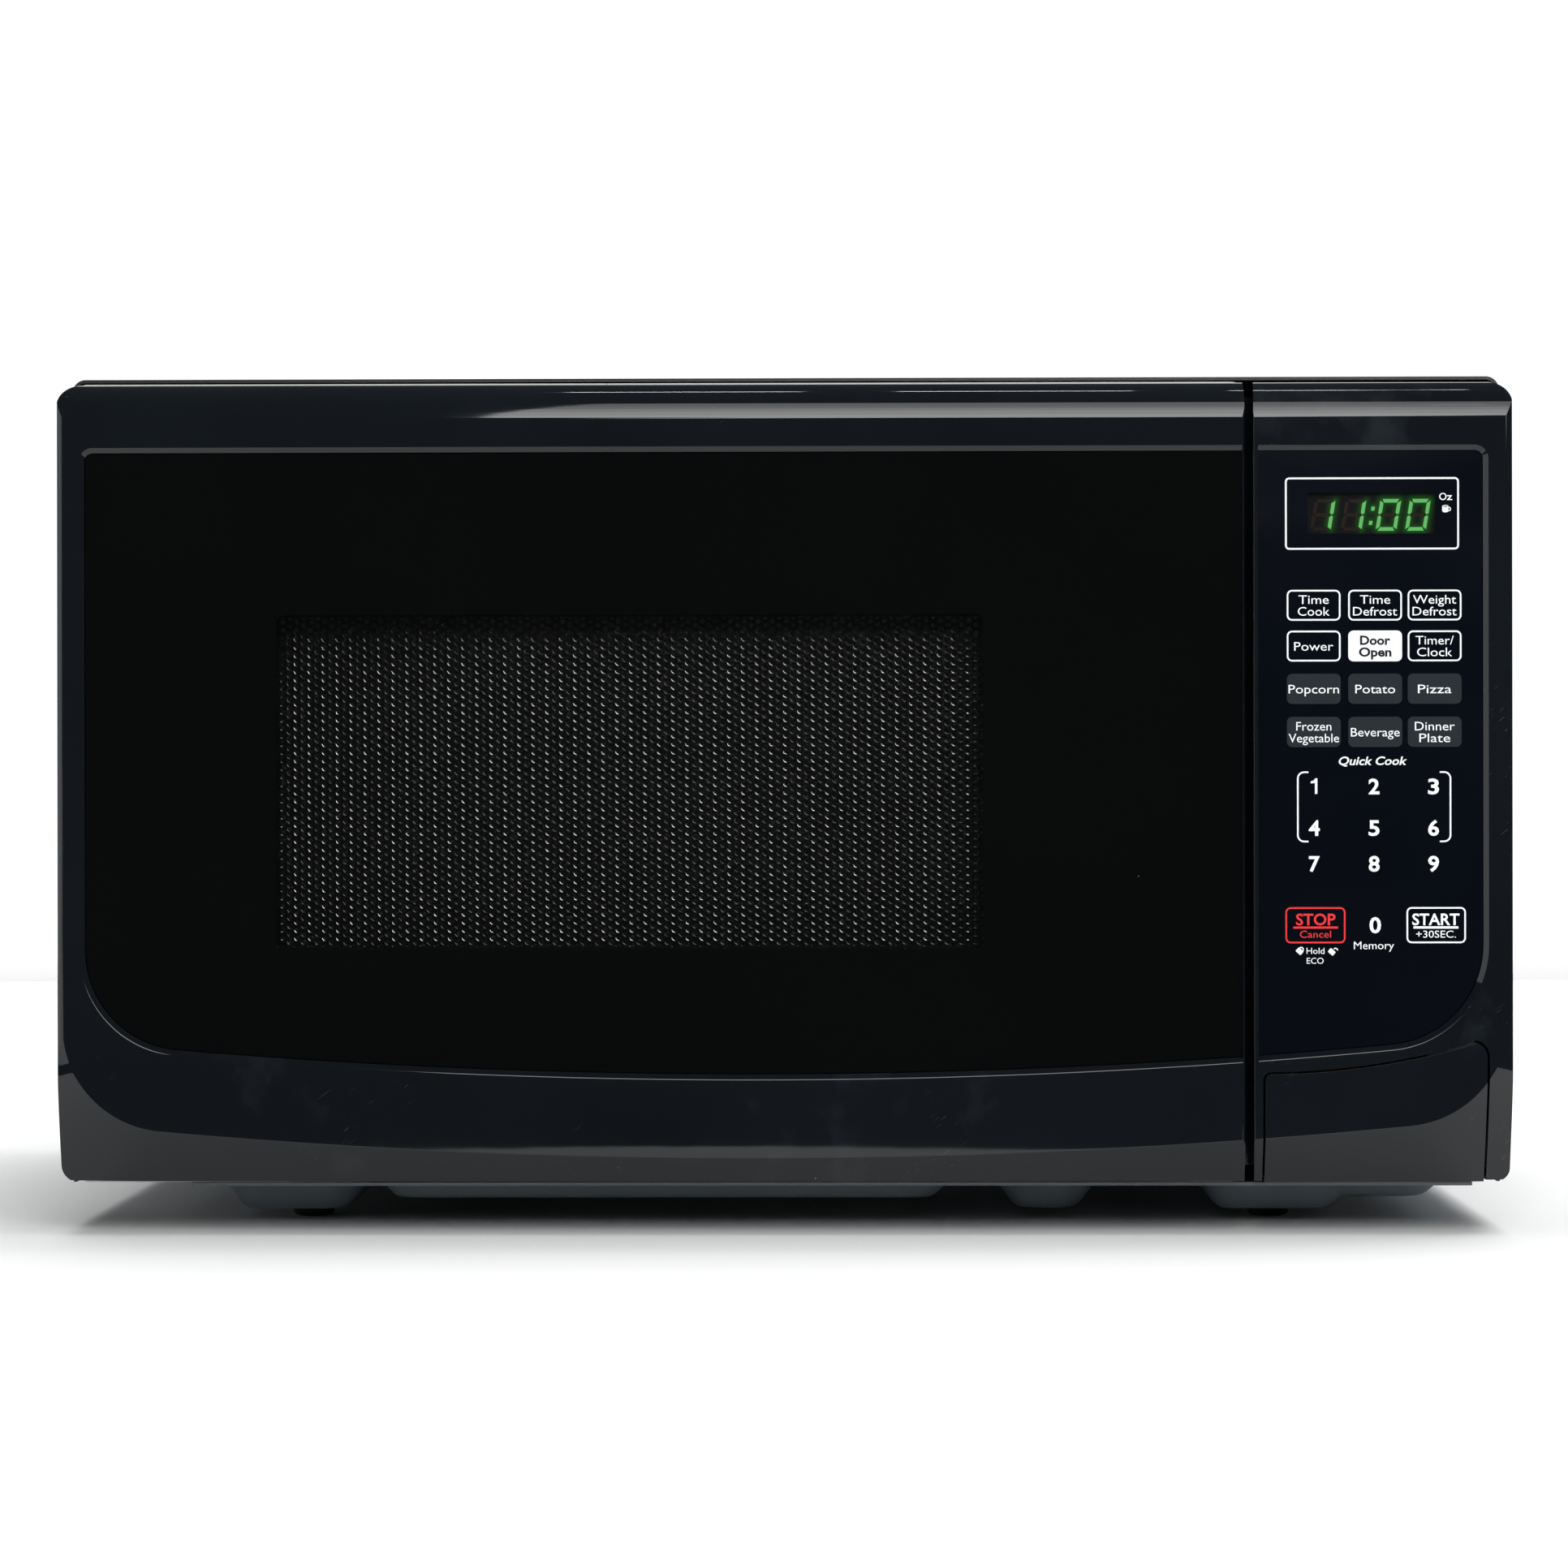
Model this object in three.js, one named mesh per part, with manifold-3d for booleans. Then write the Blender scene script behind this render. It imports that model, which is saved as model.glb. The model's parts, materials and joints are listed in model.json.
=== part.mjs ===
// Countertop microwave oven, as an assembly of its separate pieces.
// Millimetres. +X is to the right as seen from the front, +Y to the back, +Z up.
// The origin is on the table under the middle of the oven, and the door is shut.
import * as THREE from "three";
import { mergeVertices } from "three/addons/utils/BufferGeometryUtils.js";
import Module from "manifold-3d";

const wasm = await Module();
wasm.setup();

// ---------------------------------------------------------------- driving dimensions

const WIDTH = 440;
const DEPTH = 343;
const HEIGHT = 261.5;
const GAP = 0.3; // between pieces that touch
const SHEET = 1; // steel sheet, with its paint

const LEFT = -WIDTH / 2;
const RIGHT = WIDTH / 2;
const FRONT = -DEPTH / 2;
const REAR = DEPTH / 2;

const FASCIA_BOTTOM = 16;
const FASCIA_TOP = 258;
const DOOR_RIGHT = 139.2; // the door's free edge
const PANEL_LEFT = 141.8; // the control panel's edge beside it
const DOOR_BACK = -141.5;
const PLATE_FRONT = -139.5; // the front plate's face, 2 mm behind the door
const PLATE_BACK = PLATE_FRONT + SHEET;
const BODY_BACK = 166; // where the cabinet wrap and the base end
const BASE_TOP = 13.4;

// The cooking cavity, inside faces.
const CAVITY = { left: -199, right: 107, bottom: 34, top: 240, back: 158 };
const TABLE = { x: -46, y: 9 }; // the turntable's axis
const WHEEL = { radius: 8.5, width: 6, track: 86.5 };

// The door turns about a vertical line near its left back edge.
const PIVOT = { x: -209, y: -154, reach: 14.1 };

// The front face: one smiling curve is used for the crease and for the recess.
const SMILE_MIDDLE = -8;
const CREASE = { side: 2, low: 23.3, bend: 2040, corner: 32, slope: 0.4 };
const RECESS = { left: -213.1, right: 212.6, top: 238.3, low: 47, bend: 2080, corner: 32 };
const RECESS_BEVEL = 1.6;
const RECESS_DEPTH = 1.2; // from the front face to the pane
const POCKET_DEPTH = 3.5;
const SKIN = 6;
const ROLL = 12; // radius of the rolled top edge
const WINDOW = { left: -153.4, right: 60.3, bottom: 86.5, top: 187.7 };
const DISPLAY = { left: 151.4, right: 203.8, bottom: 206.7, top: 228.5 };

// The release button, low on the control panel.
const BUTTON = { left: 145.2, right: 212, bottom: 15.5, low: 48.5, bend: 220 };
const BUTTON_GAP = 0.7;

// ---------------------------------------------------------------- solids

function solidOf(geometry) {
  const bare = geometry.clone();
  bare.deleteAttribute("normal");
  bare.deleteAttribute("uv");
  const merged = mergeVertices(bare, 1e-4);
  return new wasm.Manifold(
    new wasm.Mesh({
      numProp: 3,
      vertProperties: merged.attributes.position.array,
      triVerts: new Uint32Array(merged.index.array),
    }),
  );
}

function geometryOf(solid) {
  const mesh = solid.getMesh();
  const geometry = new THREE.BufferGeometry();
  geometry.setAttribute("position", new THREE.BufferAttribute(mesh.vertProperties, 3));
  geometry.setIndex(new THREE.BufferAttribute(mesh.triVerts, 1));
  const flat = geometry.toNonIndexed();
  flat.computeVertexNormals();
  return flat;
}

function join(first, ...rest) {
  return rest.reduce((whole, piece) => whole.add(piece), first);
}

function cut(first, ...rest) {
  return rest.reduce((whole, piece) => whole.subtract(piece), first);
}

function box(x0, x1, y0, y1, z0, z1) {
  const block = new THREE.BoxGeometry(x1 - x0, y1 - y0, z1 - z0);
  return solidOf(block.translate((x0 + x1) / 2, (y0 + y1) / 2, (z0 + z1) / 2));
}

// Turns a geometry made along +Z so that it runs along the axis named.
function turnTo(axis, geometry) {
  const basis = new THREE.Matrix4();
  const x = new THREE.Vector3(1, 0, 0);
  const y = new THREE.Vector3(0, 1, 0);
  const z = new THREE.Vector3(0, 0, 1);
  if (axis === "x") basis.makeBasis(y, z, x);
  if (axis === "y") basis.makeBasis(z, x, y);
  return geometry.applyMatrix4(basis);
}

// A rod along an axis. centre holds the two other coordinates: y, z along x; z, x along y; x, y along z.
function rod(axis, radius, from, to, centre, sides = 16) {
  const geometry = new THREE.CylinderGeometry(radius, radius, to - from, sides);
  geometry.rotateX(Math.PI / 2).translate(centre[0], centre[1], (from + to) / 2);
  return solidOf(turnTo(axis, geometry));
}

// A prism along an axis, from a shape in the same two coordinates as rod's centre.
function prism(axis, shape, from, to, curveSegments = 5) {
  const geometry = new THREE.ExtrudeGeometry(shape, {
    depth: to - from,
    bevelEnabled: false,
    curveSegments,
  });
  return solidOf(turnTo(axis, geometry.translate(0, 0, from)));
}

// A turned piece about an upright axis through the origin. profile is a list of [radius, height].
function turned(profile, sides) {
  return new THREE.LatheGeometry(
    profile.map(([radius, height]) => new THREE.Vector2(radius, height)),
    sides,
  ).rotateX(Math.PI / 2);
}

// A rectangle with rounded corners, with its radii in the order
// low-left, low-right, high-right, high-left.
function rounded(Kind, x0, x1, y0, y1, radii) {
  const [a, b, c, d] = Array.isArray(radii) ? radii : [radii, radii, radii, radii];
  const path = new Kind();
  path.moveTo(x0 + a, y0);
  path.lineTo(x1 - b, y0);
  path.absarc(x1 - b, y0 + b, b, -Math.PI / 2, 0);
  path.lineTo(x1, y1 - c);
  path.absarc(x1 - c, y1 - c, c, 0, Math.PI / 2);
  path.lineTo(x0 + d, y1);
  path.absarc(x0 + d, y1 - d, d, Math.PI / 2, Math.PI);
  path.lineTo(x0, y0 + a);
  path.absarc(x0 + a, y0 + a, a, Math.PI, 1.5 * Math.PI);
  return path;
}

// A flat sheet facing the front, with an outline and holes in x and z.
function facePlate(y0, y1, x0, x1, z0, z1, radii, holes = []) {
  const sheet = solidOf(
    new THREE.ExtrudeGeometry(
      withHoles(rounded(THREE.Shape, x0, x1, z0, z1, radii), holes),
      { depth: y1 - y0, bevelEnabled: false, curveSegments: 4 },
    )
      .rotateX(Math.PI / 2)
      .translate(0, y1, 0),
  );
  return sheet;
}

function withHoles(shape, holes) {
  for (const [x0, x1, z0, z1, radius] of holes) {
    shape.holes.push(rounded(THREE.Path, x0, x1, z0, z1, radius));
  }
  return shape;
}

// ---------------------------------------------------------------- the front face

function arc(cx, cz, radius, from, to, steps) {
  const points = [];
  for (let i = 0; i <= steps; i++) {
    const angle = from + ((to - from) * i) / steps;
    points.push(new THREE.Vector2(cx + radius * Math.cos(angle), cz + radius * Math.sin(angle)));
  }
  return points;
}

// The corner arc that joins an upright side to the smile. side is -1 on the left and 1 on the right.
function smileCorner(outline, side) {
  const wall = side < 0 ? outline.left : outline.right;
  const centre = wall - side * outline.corner;
  let slope = 0;
  let touch = centre;
  for (let i = 0; i < 3; i++) {
    slope = (touch - SMILE_MIDDLE) / outline.bend;
    touch = centre + (outline.corner * slope) / Math.hypot(1, slope);
  }
  const bottom = outline.low + (touch - SMILE_MIDDLE) ** 2 / (2 * outline.bend);
  const height = bottom + outline.corner / Math.hypot(1, slope);
  const down = Math.atan2(-1, slope);
  return { centre, height, touch, down: down < 0 ? down + 2 * Math.PI : down };
}

// A closed outline: upright sides, a flat top and a bottom that smiles.
function smileOutline(outline, cornerSteps = 5, smileSteps = 10) {
  const lowLeft = smileCorner(outline, -1);
  const lowRight = smileCorner(outline, 1);
  const points = arc(lowLeft.centre, lowLeft.height, outline.corner, Math.PI, lowLeft.down, cornerSteps);
  for (let i = 1; i < smileSteps; i++) {
    const x = lowLeft.touch + ((lowRight.touch - lowLeft.touch) * i) / smileSteps;
    points.push(new THREE.Vector2(x, outline.low + (x - SMILE_MIDDLE) ** 2 / (2 * outline.bend)));
  }
  points.push(
    ...arc(lowRight.centre, lowRight.height, outline.corner, lowRight.down, 2 * Math.PI, cornerSteps),
  );
  const { topCorner: r } = outline;
  points.push(...arc(outline.right - r, outline.top - r, r, 0, Math.PI / 2, 3));
  points.push(...arc(outline.left + r, outline.top - r, r, Math.PI / 2, Math.PI, 3));
  return points;
}

// A solid through matched convex outlines, each at its own depth, from front to back.
function loft(rings) {
  const count = rings[0].points.length;
  const positions = rings.flatMap(({ y, points }) => points.flatMap((p) => [p.x, y, p.y]));
  const index = [];
  const last = (rings.length - 1) * count;
  for (let i = 1; i < count - 1; i++) {
    index.push(0, i, i + 1);
    index.push(last, last + i + 1, last + i);
  }
  for (let ring = 0; ring < last; ring += count) {
    for (let i = 0; i < count; i++) {
      const next = (i + 1) % count;
      index.push(ring + i, ring + count + i, ring + next);
      index.push(ring + next, ring + count + i, ring + count + next);
    }
  }
  const geometry = new THREE.BufferGeometry();
  geometry.setAttribute("position", new THREE.Float32BufferAttribute(positions, 3));
  geometry.setIndex(index);
  return solidOf(geometry);
}

// The flat part of the front face, grown by an offset on every side.
function creaseOutline(offset) {
  return smileOutline({
    left: LEFT + CREASE.side - offset,
    right: RIGHT - CREASE.side + offset,
    top: HEIGHT + 40,
    low: CREASE.low - offset,
    bend: CREASE.bend + offset,
    corner: CREASE.corner + offset,
    topCorner: 1,
  });
}

function recessOutline(inset) {
  return smileOutline({
    left: RECESS.left + inset,
    right: RECESS.right - inset,
    top: RECESS.top - inset,
    low: RECESS.low + inset,
    bend: RECESS.bend - inset,
    corner: RECESS.corner - inset,
    topCorner: 4.2 - inset,
  });
}

// The whole front moulding: rolled back at the top, and sloped back below the crease.
function fasciaBody(front, inset, back) {
  const growth = 38;
  const core = loft([
    { y: front, points: creaseOutline(-inset) },
    { y: front + CREASE.slope * (growth + inset), points: creaseOutline(growth) },
    { y: back, points: creaseOutline(growth) },
  ]);
  const top = FASCIA_TOP - inset;
  const profile = new THREE.Shape();
  profile.moveTo(back, 0);
  profile.lineTo(back, top);
  profile.lineTo(front + ROLL, top);
  profile.absarc(front + ROLL, top - ROLL, ROLL, Math.PI / 2, Math.PI);
  profile.lineTo(front, 0);
  const rolled = prism("x", profile, LEFT, RIGHT, 6);
  const outline = facePlate(
    front,
    back,
    LEFT + inset,
    RIGHT - inset,
    BUTTON.bottom + inset,
    top,
    [5, 4, 7.5, 7],
  );
  return core.intersect(rolled).intersect(outline);
}

// The recess that the pane and the keypad lie in, with a bevelled edge.
function recessPlug() {
  return loft([
    { y: FRONT - RECESS_DEPTH, points: recessOutline(-RECESS_BEVEL) },
    { y: FRONT + RECESS_DEPTH, points: recessOutline(RECESS_BEVEL) },
    { y: FRONT + POCKET_DEPTH, points: recessOutline(RECESS_BEVEL) },
  ]);
}

// The slab that fills the recess, cut to a stretch of the front.
function recessFill(x0, x1, thickness) {
  const front = FRONT + RECESS_DEPTH;
  const fill = loft([
    { y: front, points: recessOutline(RECESS_BEVEL + GAP) },
    { y: front + thickness, points: recessOutline(RECESS_BEVEL + GAP) },
  ]);
  return fill.intersect(box(x0, x1, front - 1, front + thickness + 1, 0, HEIGHT));
}

// The button's outline in x and z, grown by an offset.
function buttonShape(offset) {
  const left = BUTTON.left - offset;
  const right = BUTTON.right + offset;
  const height = (x) => BUTTON.low + offset + (x - BUTTON.left) ** 2 / (2 * BUTTON.bend);
  const [rl, rr] = [1.8 + offset, 4.5 + offset];
  const shape = new THREE.Shape();
  shape.moveTo(left, BUTTON.bottom - offset);
  shape.lineTo(right, BUTTON.bottom - offset);
  shape.lineTo(right, height(right) - rr - 0.6);
  shape.absarc(right - rr, height(right) - rr - 0.6, rr, 0, Math.PI / 2);
  for (let x = right - rr - 6; x > left + rl; x -= 13) {
    shape.lineTo(x, height(x));
  }
  shape.absarc(left + rl, height(left) - rl, rl, Math.PI / 2, Math.PI);
  return shape;
}

// A prism facing the front, from a shape in x and z.
function frontPrism(shape, y0, y1) {
  const geometry = new THREE.ExtrudeGeometry(shape, {
    depth: y1 - y0,
    bevelEnabled: false,
    curveSegments: 4,
  });
  return solidOf(geometry.rotateX(Math.PI / 2).translate(0, y1, 0));
}

// ---------------------------------------------------------------- the door

const HINGE_LEVELS = [
  { arm: 24, lug: 30.5, flange: [22, 40] },
  { arm: 246, lug: 240.5, flange: [232, 250] },
];
const HOOK_LEVELS = [76, 190]; // undersides of the two hooks' shanks
const HOOK_BAR = { left: 125, right: 133, front: -160, back: -152 };

// What is taken off the door's left back corner so that it turns clear of the front plate.
function sweepCut() {
  const shape = new THREE.Shape();
  shape.moveTo(PIVOT.x + 30, PIVOT.y + PIVOT.reach);
  shape.absarc(PIVOT.x, PIVOT.y, PIVOT.reach, Math.PI / 2, (150 / 180) * Math.PI);
  shape.lineTo(LEFT - 10, PIVOT.y + PIVOT.reach / 2);
  shape.lineTo(LEFT - 10, DOOR_BACK + 10);
  shape.lineTo(PIVOT.x + 30, DOOR_BACK + 10);
  return prism("z", shape, 0, HEIGHT, 8);
}

function doorFrame(fascia, hollow) {
  const wall = 2.5;
  const outside = fascia.intersect(box(LEFT, DOOR_RIGHT, FRONT, DOOR_BACK, FASCIA_BOTTOM, FASCIA_TOP));
  const inside = hollow.intersect(
    box(LEFT, DOOR_RIGHT - wall, FRONT, DOOR_BACK + 1, FASCIA_BOTTOM + wall, FASCIA_TOP),
  );
  const { left, right, bottom, top } = WINDOW;
  const sight = box(left - 3, right + 3, FRONT, DOOR_BACK, bottom - 3, top + 3);
  const notches = HINGE_LEVELS.map(({ arm }) =>
    box(LEFT - 1, PIVOT.x + 6, PIVOT.y - 6.2, DOOR_BACK + 1, arm - 2, arm + 4),
  );
  return cut(outside, inside, recessPlug(), sight, sweepCut(), ...notches);
}

// The pressed steel pan behind the window, with its rim and the two hinge lugs.
function doorScreenPanel() {
  const pan = { left: -206, right: 124, bottom: 29, top: 244.5, front: -149.3, back: -143 };
  const outer = box(pan.left, pan.right, pan.front, pan.back, pan.bottom, pan.top);
  const inner = box(
    pan.left + 1.2,
    pan.right - 1.2,
    pan.front + SHEET,
    pan.back + 1,
    pan.bottom + 1.2,
    pan.top - 1.2,
  );
  const lugs = HINGE_LEVELS.map(({ lug }) =>
    cut(
      box(PIVOT.x - 5, PIVOT.x + 11, PIVOT.y - 5, pan.front, lug, lug + 3),
      rod("z", 2.9, lug - 1, lug + 4, [PIVOT.x, PIVOT.y]),
    ),
  );
  return join(cut(outer, inner), ...lugs);
}

// The plastic ring over the choke, seen round the window when the door is open.
function chokeCover() {
  return facePlate(-146.8, -141.9, -204, 122, 31, 242.5, 3, [[-170, 77, 68, 206, 6]]);
}

function innerWindowFilm() {
  return facePlate(-147.9, -147.1, -174, 81, 64, 210, 2);
}

// The upright bar in the door with a hook at each end, which reach through the front plate.
function latchHookBar() {
  const bar = box(HOOK_BAR.left, HOOK_BAR.right, HOOK_BAR.front, HOOK_BAR.back, 62, 206);
  const hooks = HOOK_LEVELS.flatMap((z) => [
    box(HOOK_BAR.left, HOOK_BAR.right, HOOK_BAR.back - 1, -118, z, z + 8),
    box(HOOK_BAR.left, HOOK_BAR.right, -124, -118, z - 8, z + 1),
  ]);
  return join(bar, ...hooks);
}

// A coil spring: a round wire along a helix.
class Helix extends THREE.Curve {
  constructor(radius, height, turns) {
    super();
    Object.assign(this, { radius, height, turns });
  }
  getPoint(t, target = new THREE.Vector3()) {
    const angle = 2 * Math.PI * this.turns * t;
    return target.set(this.radius * Math.cos(angle), this.radius * Math.sin(angle), this.height * t);
  }
}

function coil(radius, height, turns, wire) {
  const section = new THREE.Shape();
  section.absarc(0, 0, wire, 0, 2 * Math.PI);
  return new THREE.ExtrudeGeometry(section, {
    steps: turns * 9,
    curveSegments: 3,
    bevelEnabled: false,
    extrudePath: new Helix(radius, height, turns),
  });
}

function hingeBracket({ arm, lug, flange }) {
  const up = lug > arm;
  const pin = up
    ? rod("z", 2.5, arm + 1, lug + 5, [PIVOT.x, PIVOT.y])
    : rod("z", 2.5, lug - 2, arm + 1, [PIVOT.x, PIVOT.y]);
  return join(
    box(PIVOT.x - 3.5, PIVOT.x + 3.5, PIVOT.y, PLATE_BACK + 2, arm, arm + 2),
    rod("z", 5, arm, arm + 2, [PIVOT.x, PIVOT.y]),
    pin,
    box(-216, -202, PLATE_BACK + GAP, PLATE_BACK + 2, flange[0], flange[1]),
  );
}

// ---------------------------------------------------------------- the control panel

function controlPanelFrame(fascia, hollow) {
  const wall = 2.5;
  const back = -139.8;
  const outside = fascia.intersect(box(PANEL_LEFT, RIGHT, FRONT, back, FASCIA_BOTTOM, FASCIA_TOP));
  const inside = hollow.intersect(
    box(PANEL_LEFT + wall, RIGHT, FRONT, back + 1, FASCIA_BOTTOM + wall, FASCIA_TOP),
  );
  const sight = box(DISPLAY.left, DISPLAY.right, FRONT, back, DISPLAY.bottom, DISPLAY.top);
  const opening = frontPrism(buttonShape(BUTTON_GAP), FRONT - 1, -150);
  return cut(outside, inside, recessPlug(), sight, opening);
}

function keypadOverlay() {
  const clearance = frontPrism(buttonShape(BUTTON_GAP + GAP), FRONT, FRONT + SKIN);
  return cut(recessFill(PANEL_LEFT + GAP, RIGHT, 2), clearance);
}

function releaseButton(fascia, hollow) {
  const back = -158;
  const face = fascia.intersect(frontPrism(buttonShape(0), FRONT, back));
  const inside = hollow.intersect(
    box(BUTTON.left + 2, BUTTON.right - 2, FRONT, back + 1, BUTTON.bottom + 2, BUTTON.low - 2),
  );
  const stem = box(150, 158, -166, -137, 42, 46);
  return join(cut(face, inside), stem);
}

// The bell crank that the button's stem pushes: its rear arm lifts the lower hook.
const LEVER = { y: -134.5, z: 66 };

function releaseLever() {
  return join(
    rod("x", 2.8, 124, 162, [LEVER.y, LEVER.z], 12),
    box(150, 158, LEVER.y - 2, LEVER.y + 1.5, 43, LEVER.z),
    box(HOOK_BAR.left, HOOK_BAR.right, LEVER.y, -119, LEVER.z - 2.5, LEVER.z + 1.5),
  );
}

function controlBoard() {
  const board = box(147, 214, -162.4, -160.8, 90, 240);
  const parts = [
    box(150, 178, -161, -146, 100, 122), // supply transformer
    box(184, 200, -161, -148, 98, 126), // power relay
    box(184, 196, -161, -150, 132, 144), // sounder
    box(155, 175, -161, -157, 150, 156), // controller
    box(152, 180, -161, -151, 226, 232), // harness socket
  ];
  return join(board, ...parts);
}

function displayModule() {
  return box(
    DISPLAY.left + 1.5,
    DISPLAY.right - 1.5,
    FRONT + POCKET_DEPTH + GAP,
    -162.7,
    DISPLAY.bottom + 1.5,
    DISPLAY.top - 1.5,
  );
}

// ---------------------------------------------------------------- latch switches

const BOARD_X = 137;
const SWITCH = { width: 8.4, depth: 16, height: 28, front: -112 };
const PLUNGER = { front: -117.6, back: -109.5, width: 3.4, height: 5 };

function latchBoard() {
  const sheet = box(BOARD_X, BOARD_X + 2, PLATE_BACK + GAP, -94, 58, 222);
  const hubHole = rod("x", 3.3, BOARD_X - 1, BOARD_X + 3, [LEVER.y, LEVER.z], 12);
  const relief = box(BOARD_X - 1, BOARD_X + 3, -130, -100, 105, 175);
  return cut(sheet, hubHole, relief);
}

// A microswitch about its own middle, with a pocket for its plunger at pocketZ.
function switchBody(pocketZ) {
  return cut(
    box(-SWITCH.width / 2, SWITCH.width / 2, 0, SWITCH.depth, -SWITCH.height / 2, SWITCH.height / 2),
    box(-PLUNGER.width / 2 - 0.4, PLUNGER.width / 2 + 0.4, -1, 3, pocketZ - 3, pocketZ + 3),
  );
}

// ---------------------------------------------------------------- body shell

const FEET = [
  ["foot_front_left", -150, -100],
  ["foot_front_right", 152, -100],
  ["foot_rear_left", -150, 125],
  ["foot_rear_right", 152, 125],
];
const PAD_UNDER = 3.4; // underside of the pressed pads that the feet are pushed into

// The painted wrap: top and both sides in one folded sheet.
function outerCabinet() {
  const bottom = BASE_TOP + GAP;
  const bend = 4;
  const outer = rounded(THREE.Shape, LEFT, RIGHT, bottom, HEIGHT, [0.01, 0.01, bend, bend]);
  const inner = rounded(
    THREE.Shape,
    LEFT + SHEET,
    RIGHT - SHEET,
    bottom - 5,
    HEIGHT - SHEET,
    [0.01, 0.01, bend - SHEET, bend - SHEET],
  );
  const front = PLATE_FRONT + GAP;
  const wrap = cut(frontPrism(outer, front, BODY_BACK), frontPrism(inner, front - 1, BODY_BACK + 1));
  const slots = [];
  for (let row = 0; row < 3; row++) {
    for (let column = 0; column < 9; column++) {
      const y = 62 + column * 9;
      const z = 40 + row * 26;
      slots.push(box(RIGHT - 3, RIGHT + 1, y, y + 3.5, z, z + 20));
    }
  }
  for (let column = 0; column < 9; column++) {
    const y = 20 + column * 9;
    slots.push(box(LEFT - 1, LEFT + 3, y, y + 3.5, 196, 220));
  }
  return cut(wrap, ...slots);
}

// The back sheet, with the fan's intake slots, four stand-off bosses and the cord's hole.
function rearPanel() {
  const y = BODY_BACK + GAP;
  const slots = [];
  for (let row = 0; row < 4; row++) {
    for (let column = 0; column < 8; column++) {
      const x = 124 + column * 10;
      const z = 72 + row * 20;
      slots.push(box(x, x + 4, y - 1, y + 3, z, z + 15));
    }
  }
  const sheet = facePlate(y, y + SHEET, LEFT + 0.6, RIGHT - 0.6, BASE_TOP - SHEET, HEIGHT - 0.6, 3);
  const cordHole = rod("y", 8, y - 1, y + 3, [CORD.z, CORD.x]);
  const bosses = [
    [-180, 60],
    [-180, 215],
    [180, 215],
  ].map(([x, z]) => rod("y", 9, y + SHEET / 2, REAR, [z, x], 20));
  return cut(join(sheet, ...bosses), ...slots, cordHole);
}

const CORD = { x: 190, z: 38 };

function cordBushing() {
  const profile = [
    [3.8, -8],
    [7.6, -8],
    [7.6, 2],
    [11, 2],
    [11, 4.2],
    [3.8, 4.2],
    [3.8, -8],
  ];
  return turned(profile, 20).rotateX(-Math.PI / 2);
}

// A shallow box pressed down out of the base sheet.
function pressing(x0, x1, y0, y1, under) {
  return {
    shell: box(x0, x1, y0, y1, under, BASE_TOP),
    inside: box(x0 + SHEET, x1 - SHEET, y0 + SHEET, y1 - SHEET, under + SHEET, BASE_TOP + 1),
  };
}

function basePlate() {
  const sheet = box(LEFT + 0.6, RIGHT - 0.6, PLATE_FRONT, BODY_BACK, BASE_TOP - SHEET, BASE_TOP);
  const pressings = [
    pressing(-176, -132, -122, 150, PAD_UNDER),
    pressing(130, 176, -122, 150, PAD_UNDER),
    pressing(174, 205, -122, 150, 8.4),
    pressing(-126, 50, -128, -96, 7.4),
    pressing(66, 97, -120, -60, PAD_UNDER),
    pressing(TABLE.x - 32, TABLE.x + 32, TABLE.y - 40, TABLE.y + 40, 5),
  ];
  const holes = FEET.map(([, x, y]) => rod("z", 3.4, 0, 8, [x, y], 12));
  const whole = join(sheet, ...pressings.map(({ shell }) => shell));
  return cut(whole, ...pressings.map(({ inside }) => inside), ...holes);
}

function foot() {
  const profile = [
    [0, 0],
    [5, 0],
    [6.5, 1],
    [6.5, PAD_UNDER - GAP],
    [3, PAD_UNDER - GAP],
    [3, 6.5],
    [0, 6.5],
  ];
  return turned(profile, 20);
}

function frontPlate() {
  const hookSlots = HOOK_LEVELS.map((z) => [HOOK_BAR.left - 2, HOOK_BAR.right + 3, z - 10, z + 14, 1]);
  const hingeSlots = HINGE_LEVELS.map(({ arm }) => [
    PIVOT.x - 4.5,
    PIVOT.x + 4.5,
    arm - 0.8,
    arm + 2.8,
    0.5,
  ]);
  const mouth = [CAVITY.left, CAVITY.right, CAVITY.bottom, CAVITY.top, 4];
  return facePlate(PLATE_FRONT, PLATE_BACK, LEFT + 1.5, 140.8, BASE_TOP + GAP, HEIGHT - 1.5, 3, [
    mouth,
    ...hookSlots,
    ...hingeSlots,
  ]);
}

// ---------------------------------------------------------------- the cavity

const PORT = { y0: -36, y1: 56, z0: 176, z1: 232 }; // where the microwaves enter

function cavityPieces() {
  const front = PLATE_BACK + GAP;
  const { left, right, bottom, top, back } = CAVITY;
  const floor = cut(
    box(left - SHEET, right + SHEET, front, back, bottom - SHEET, bottom),
    rod("z", 7, bottom - 2, bottom + 1, [TABLE.x, TABLE.y]),
  );
  const rightWall = cut(
    box(right, right + SHEET, front, back, bottom + GAP, top),
    box(right - 1, right + 2, PORT.y0, PORT.y1, PORT.z0, PORT.z1),
  );
  return {
    cavity_floor: floor,
    cavity_left_wall: box(left - SHEET, left, front, back, bottom + GAP, top),
    cavity_right_wall: rightWall,
    cavity_ceiling: box(left - SHEET, right + SHEET, front, back, top + GAP, top + GAP + SHEET),
    cavity_back_wall: box(
      left - SHEET,
      right + SHEET,
      back + GAP,
      back + GAP + SHEET,
      bottom - SHEET,
      top + GAP + SHEET,
    ),
  };
}

function waveguideCover() {
  const face = CAVITY.right - GAP;
  return box(face - 1.2, face, PORT.y0 - 8, PORT.y1 + 8, PORT.z0 - 7, PORT.z1 + 6);
}

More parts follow.
